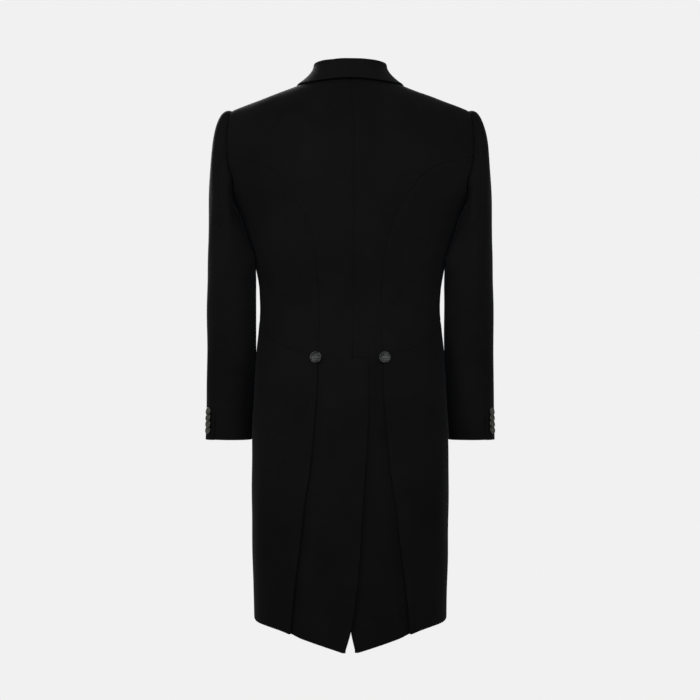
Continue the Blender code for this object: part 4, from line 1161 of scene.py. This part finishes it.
def button_mesh(name, size, finish):
    # Turned about +Z, with its back on the ground plane, and four holes right through
    radius, thick = size["radius"], size["thick"]
    rings = [circle(BUTTON_SIDES) * reach * radius + UP * height * thick for reach, height in BUTTON_PROFILE]
    body = ring_solid(name, rings, (0 * UP, UP * BUTTON_WELL * thick), finish)
    cutters = []
    for at in holes(radius):
        cut = [at + circle(HOLE_SIDES) * HOLE_RADIUS * radius * wide + UP * height * thick
               for wide, height in HOLE_PROFILE]
        cutters.append(ring_solid("cutter", cut, (cut[0].mean(axis=0), cut[-1].mean(axis=0)), finish))
        step = body.modifiers.new("hole", "BOOLEAN")
        step.operation = "DIFFERENCE"
        step.solver = "EXACT"
        step.object = cutters[-1]
    evaluated = body.evaluated_get(bpy.context.evaluated_depsgraph_get())
    mesh = bpy.data.meshes.new_from_object(evaluated)
    mesh.shade_smooth()
    mesh.set_sharp_from_angle(angle=math.radians(BUTTON_SHARP))
    mesh.materials.clear()
    mesh.materials.append(finish)
    for old in (body, *cutters):
        bpy.data.objects.remove(old, do_unlink=True)
    return mesh


def place_button(node, mesh, size, place, out, up, thread):
    # The button at its place, its thread through the holes and its shank down to the cloth
    out = unit(out)
    right = unit(np.cross(up, out))
    turned = np.column_stack([right, np.cross(out, right), out])
    matrix = np.eye(4)
    matrix[:3, :3], matrix[:3, 3] = turned, place
    horn = mesh.copy()
    horn.transform(Matrix(matrix.tolist()))
    horn.name = f"{node}_horn"
    made = placed(horn.name, horn)
    radius, thick, shank = size["radius"], size["thick"], size["shank"]
    half, rise = HOLE_AT * radius, BUTTON_WELL * thick + THREAD_RADIUS
    runs = []
    for across in (-1, 1):
        for offset in THREAD_OFFSETS:
            x = across * half + offset * HOLE_RADIUS * radius
            bow = [(1.0, 0.1 * thick), (1.0, 0.52 * thick), (0.86, rise), (0.4, rise + 0.7 * THREAD_RADIUS)]
            run = [(x, -half * y, z) for y, z in bow] + [(x, 0, rise + THREAD_RADIUS)]
            runs.append(run + [(x, half * y, z) for y, z in bow[::-1]])
    for hole in holes(radius):
        runs.append([hole + UP * 0.1 * thick, hole * 0.7 - UP * shank * 0.4, hole * 0.45 - UP * shank])
    sewn_on = strands(f"{node}_thread", [np.array(run) @ turned.T + place for run in runs], thread)
    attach(made, "root")
    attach(sewn_on, "root")
    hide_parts(node)


def seat_height(grid, place, out, reach):
    # How far the dressed cloth stands above a place, along the way out of it
    off = grid.reshape(-1, 3) - place
    high = off @ out
    aside = np.linalg.norm(off - high[:, None] * out, axis=1)
    near = (aside < reach) & (np.abs(high) < SEAT_REACH)
    return float(np.percentile(high[near], SEAT_SHARE))


# Materials

def new_material(name, values):
    # A material with its shader's values set, and its node tree
    made = bpy.data.materials.new(name)
    made.use_nodes = True
    set_inputs(made.node_tree.nodes["Principled BSDF"], values)
    return made, made.node_tree


def set_inputs(node, values):
    # Each input takes a value, or a link from another node's output
    for name, value in values.items():
        if isinstance(value, bpy.types.NodeSocket):
            node.id_data.links.new(value, node.inputs[name])
        else:
            node.inputs[name].default_value = value


def texture(tree, kind, **values):
    # The strength of a noise, a wave across or a wave on the bias
    made = tree.nodes.new("ShaderNodeTexNoise" if kind == "noise" else "ShaderNodeTexWave")
    if kind == "bias":
        made.bands_direction = "DIAGONAL"
    set_inputs(made, values)
    return made.outputs["Fac"]


def mixed(tree, share, first, second):
    made = tree.nodes.new("ShaderNodeMix")
    set_inputs(made, {"Factor": share, 2: first, 3: second})
    return made.outputs[0]


def coloured(tree, strength, ends, colours, roughness):
    # The colour and the roughness follow one strength
    shader = tree.nodes["Principled BSDF"]
    ramp = tree.nodes.new("ShaderNodeValToRGB")
    for element, position, colour in zip(ramp.color_ramp.elements, ends, colours):
        element.position = position
        element.color = (*colour, 1.0)
    rough = tree.nodes.new("ShaderNodeMapRange")
    set_inputs(ramp, {"Fac": strength})
    set_inputs(rough, {"To Min": roughness[0], "To Max": roughness[1], "Value": strength})
    set_inputs(shader, {"Base Color": ramp.outputs["Color"], "Roughness": rough.outputs["Result"]})


def bumped(tree, height, strength, distance):
    bump = tree.nodes.new("ShaderNodeBump")
    set_inputs(bump, {"Strength": strength, "Distance": distance, "Height": height})
    set_inputs(tree.nodes["Principled BSDF"], {"Normal": bump.outputs["Normal"]})


def wool(name, colour, weave, sheen):
    made, tree = new_material(name, {
        "Metallic": 0.0, "Specular IOR Level": 0.010, "Sheen Weight": sheen, "Sheen Roughness": 0.45,
        "Sheen Tint": (0.62, 0.66, 0.74, 1.0)})
    at = tree.nodes.new("ShaderNodeTexCoord").outputs
    # Slow variation of the dye and the nap
    slow = texture(tree, "noise", Scale=9.0, Detail=4.0, Roughness=0.6, Vector=at["Object"])
    fibres = texture(tree, "noise", Scale=900.0, Detail=3.0, Vector=at["Object"])
    # Fine twill: threads on the bias, broken by the crossing threads
    twill = texture(tree, "bias", Scale=weave, Distortion=0.6, Detail=1.0, Vector=at["UV"])
    ends = texture(tree, "across", Scale=weave * 1.4, Distortion=0.4, Vector=at["UV"])
    height = mixed(tree, 0.40, mixed(tree, 0.35, twill, ends), fibres)
    bumped(tree, height, 0.35, 0.00012)
    colours = [[c * share for c in colour] for share in (0.72, 1.28)]
    coloured(tree, mixed(tree, 0.30, slow, height), (0.30, 0.70), colours, (0.72, 0.92))
    return made


def horn_finish(name, dark, light):
    made, tree = new_material(name, {
        "Metallic": 0.0, "Specular IOR Level": 0.07, "Coat Weight": 0.02, "Coat Roughness": 0.25})
    at = tree.nodes.new("ShaderNodeTexCoord").outputs
    clouds = texture(tree, "noise", Scale=150.0, Detail=5.0, Distortion=1.4, Vector=at["Object"])
    streaks = texture(tree, "bias", **{"Detail Scale": 2.0}, Scale=42.0, Distortion=9.0, Detail=3.0,
                      Vector=at["Object"])
    coloured(tree, mixed(tree, 0.45, clouds, streaks), (0.28, 0.72), (dark, light), (0.30, 0.46))
    bumped(tree, clouds, 0.15, 0.00010)
    return made


def thread_finish(name, colour):
    made, tree = new_material(name, {"Base Color": (*colour, 1.0), "Roughness": 0.6, "Sheen Weight": 0.2})
    at = tree.nodes.new("ShaderNodeTexCoord").outputs
    bumped(tree, texture(tree, "bias", Scale=900.0, Vector=at["Object"]), 0.4, 0.00008)
    return made


black_wool = wool("black_wool_twill", (0.00172, 0.00167, 0.00170), 260.0, 0.009)
# The collar's cloth is the body's black cloth made a little lighter: painted light where the top light falls
# on the collar
collar_wool_painted_light = wool("black_collar_cloth_painted_light", (0.0020, 0.0019, 0.0019), 200.0, 0.012)
dark_horn = horn_finish("dark_grey_horn", (0.0014, 0.0016, 0.0015), (0.0120, 0.0124, 0.0118))
cuff_horn = horn_finish("olive_grey_horn", (0.0066, 0.0062, 0.0050), (0.0240, 0.0226, 0.0178))
black_thread = thread_finish("black_thread", (0.012, 0.012, 0.013))


# Everything made and set in place

# Flat cut of each kind of piece: width, length, area in square metres, and what it hangs from
CUTS = {
    "back": (0.25, 1.12, 0.127, "collar"), "sidebody": (0.19, 0.38, 0.051, "back"),
    "forepart": (0.26, 0.47, 0.091, "collar"), "skirt": (0.33, 0.6, 0.134, "forepart"),
    "lapel": (0.115, 0.38, 0.027, "forepart"), "top_sleeve": (0.22, 0.7, 0.105, "back"),
    "under_sleeve": (0.19, 0.56, 0.076, "top_sleeve"),
}

shells = {}
for side in (1, -1):
    for make in (back, sidebody, forepart, skirt, lapel):
        shells[named(make.__name__, side)] = make(side, black_wool)
    shells.update(sleeves(side, black_wool))
shells["collar"] = collar(collar_wool_painted_light)

for node, (shell, _) in shells.items():
    shell.name = f"{node}_cloth"
    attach(shell, "root")
    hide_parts(node)

for node, (shell, _) in shells.items():
    stem, _, hand = node.rpartition("_")
    if stem in CUTS:
        width, length, area, on = CUTS[stem]
        on = on if on == "collar" else f"{on}_{hand}"

body_button = button_mesh("body_button", HIP_BUTTON, dark_horn)
small_button = button_mesh("small_button", CUFF_BUTTON, cuff_horn)
for node, spot, side, carrier in (
        ("hip_button_left", behind(*HIP_BUTTON_AT), 1, "skirt_left"),
        ("hip_button_right", behind(*HIP_BUTTON_AT), -1, "skirt_right"),
        ("front_button", before(*FRONT_BUTTON_AT), 1, "forepart_left")):
    place, out = body_point(*spot), body_normal(*spot)
    seat = BUTTON_SEAT + seat_height(shells[carrier][1], place, out, HIP_BUTTON["radius"])
    place, out = to_side(place + out * seat, side), to_side(out, side)
    place_button(node, body_button, HIP_BUTTON, place, out, UP, black_thread)

lean_out, lean_up = math.cos(CUFF_BUTTON_TILT), math.sin(CUFF_BUTTON_TILT)
for side in (1, -1):
    carrier = shells[named("top_sleeve", side)][1]
    for k in range(4):
        height = CUFF_BUTTON_LOWEST + CUFF_BUTTON_PITCH * (3 - k)
        turn = math.radians(CUFF_BUTTON_TURN)
        place = sleeve_ring(turn, height)
        around = sleeve_ring(turn + STEP, height) - sleeve_ring(turn - STEP, height)
        along = unit(sleeve_ring(turn, height + STEP) - sleeve_ring(turn, height - STEP))
        out = unit(np.cross(around, along))
        out = out if out[0] > 0 else -out
        radius = CUFF_BUTTON["radius"]
        seat = BUTTON_SEAT + radius * lean_up + seat_height(carrier, place, out, radius)
        ways = place + out * seat, out * lean_out + along * lean_up, along * lean_out - out * lean_up
        place_button(f"{named('cuff_button', side)}_{k + 1}", small_button, CUFF_BUTTON,
                     *(to_side(way, side) for way in ways), black_thread)
bpy.data.meshes.remove(body_button)
bpy.data.meshes.remove(small_button)


# Stage, light and camera: a pale floor and an even pale studio

FLOOR_HEIGHT = -1.620
FLOOR_RADIUS = 1.900
FLOOR_SIDES = 96

pale, _ = new_material("pale_floor", {"Base Color": (0.84, 0.84, 0.84, 1.0), "Roughness": 0.9})
rim = circle(FLOOR_SIDES) * FLOOR_RADIUS + UP * FLOOR_HEIGHT
floor = mesh_object("floor", rim, [tuple(range(FLOOR_SIDES))], pale)
floor.data.shade_flat()

scene = bpy.context.scene
scene.view_settings.view_transform = "Standard"
scene.world = bpy.data.worlds.new("studio")
scene.world.use_nodes = True
set_inputs(scene.world.node_tree.nodes["Background"], {"Color": (0.879, 0.879, 0.879, 1.0), "Strength": 1.0})

# Soft lights: name, place, target, width and height, watts, colour, spread in degrees
for name, place, target, size, power, colour, spread in (
        ("top_light", (0.0, 1.50, 0.20), (0.0, 0.05, -0.42), (1.6, 0.6), 11.0, (0.88, 0.94, 1.0), 80.0),
        ("left_light", (2.0, 1.6, 0.25), (0.1, 0.0, -0.35), (0.9, 1.2), 12.5, (1.0, 0.95, 0.88), 90.0),
        ("right_light", (-2.0, 1.6, 0.25), (-0.1, 0.0, -0.35), (0.9, 1.2), 6.0, (1.0, 0.95, 0.88), 90.0),
        ("front_light", (0.6, -2.2, 0.7), (0.0, 0.0, -0.4), (1.6, 1.4), 45.0, (1.0, 0.98, 0.96), 100.0)):
    lamp = bpy.data.lights.new(name, "AREA")
    lamp.shape = "RECTANGLE"
    lamp.size, lamp.size_y = size
    lamp.energy = power
    lamp.spread = math.radians(spread)
    lamp.color = colour
    made = placed(name, lamp)
    made.location = place
    made.rotation_euler = (Vector(target) - Vector(place)).to_track_quat("-Z", "Y").to_euler()

camera_data = bpy.data.cameras.new("camera")
camera_data.sensor_width = 36.0
camera_data.lens = 100.08
scene.camera = placed("camera", camera_data)
scene.camera.location = (0.0004, 3.600, -0.500)
scene.camera.rotation_euler = (math.radians(90.0), 0.0, math.radians(180.0))
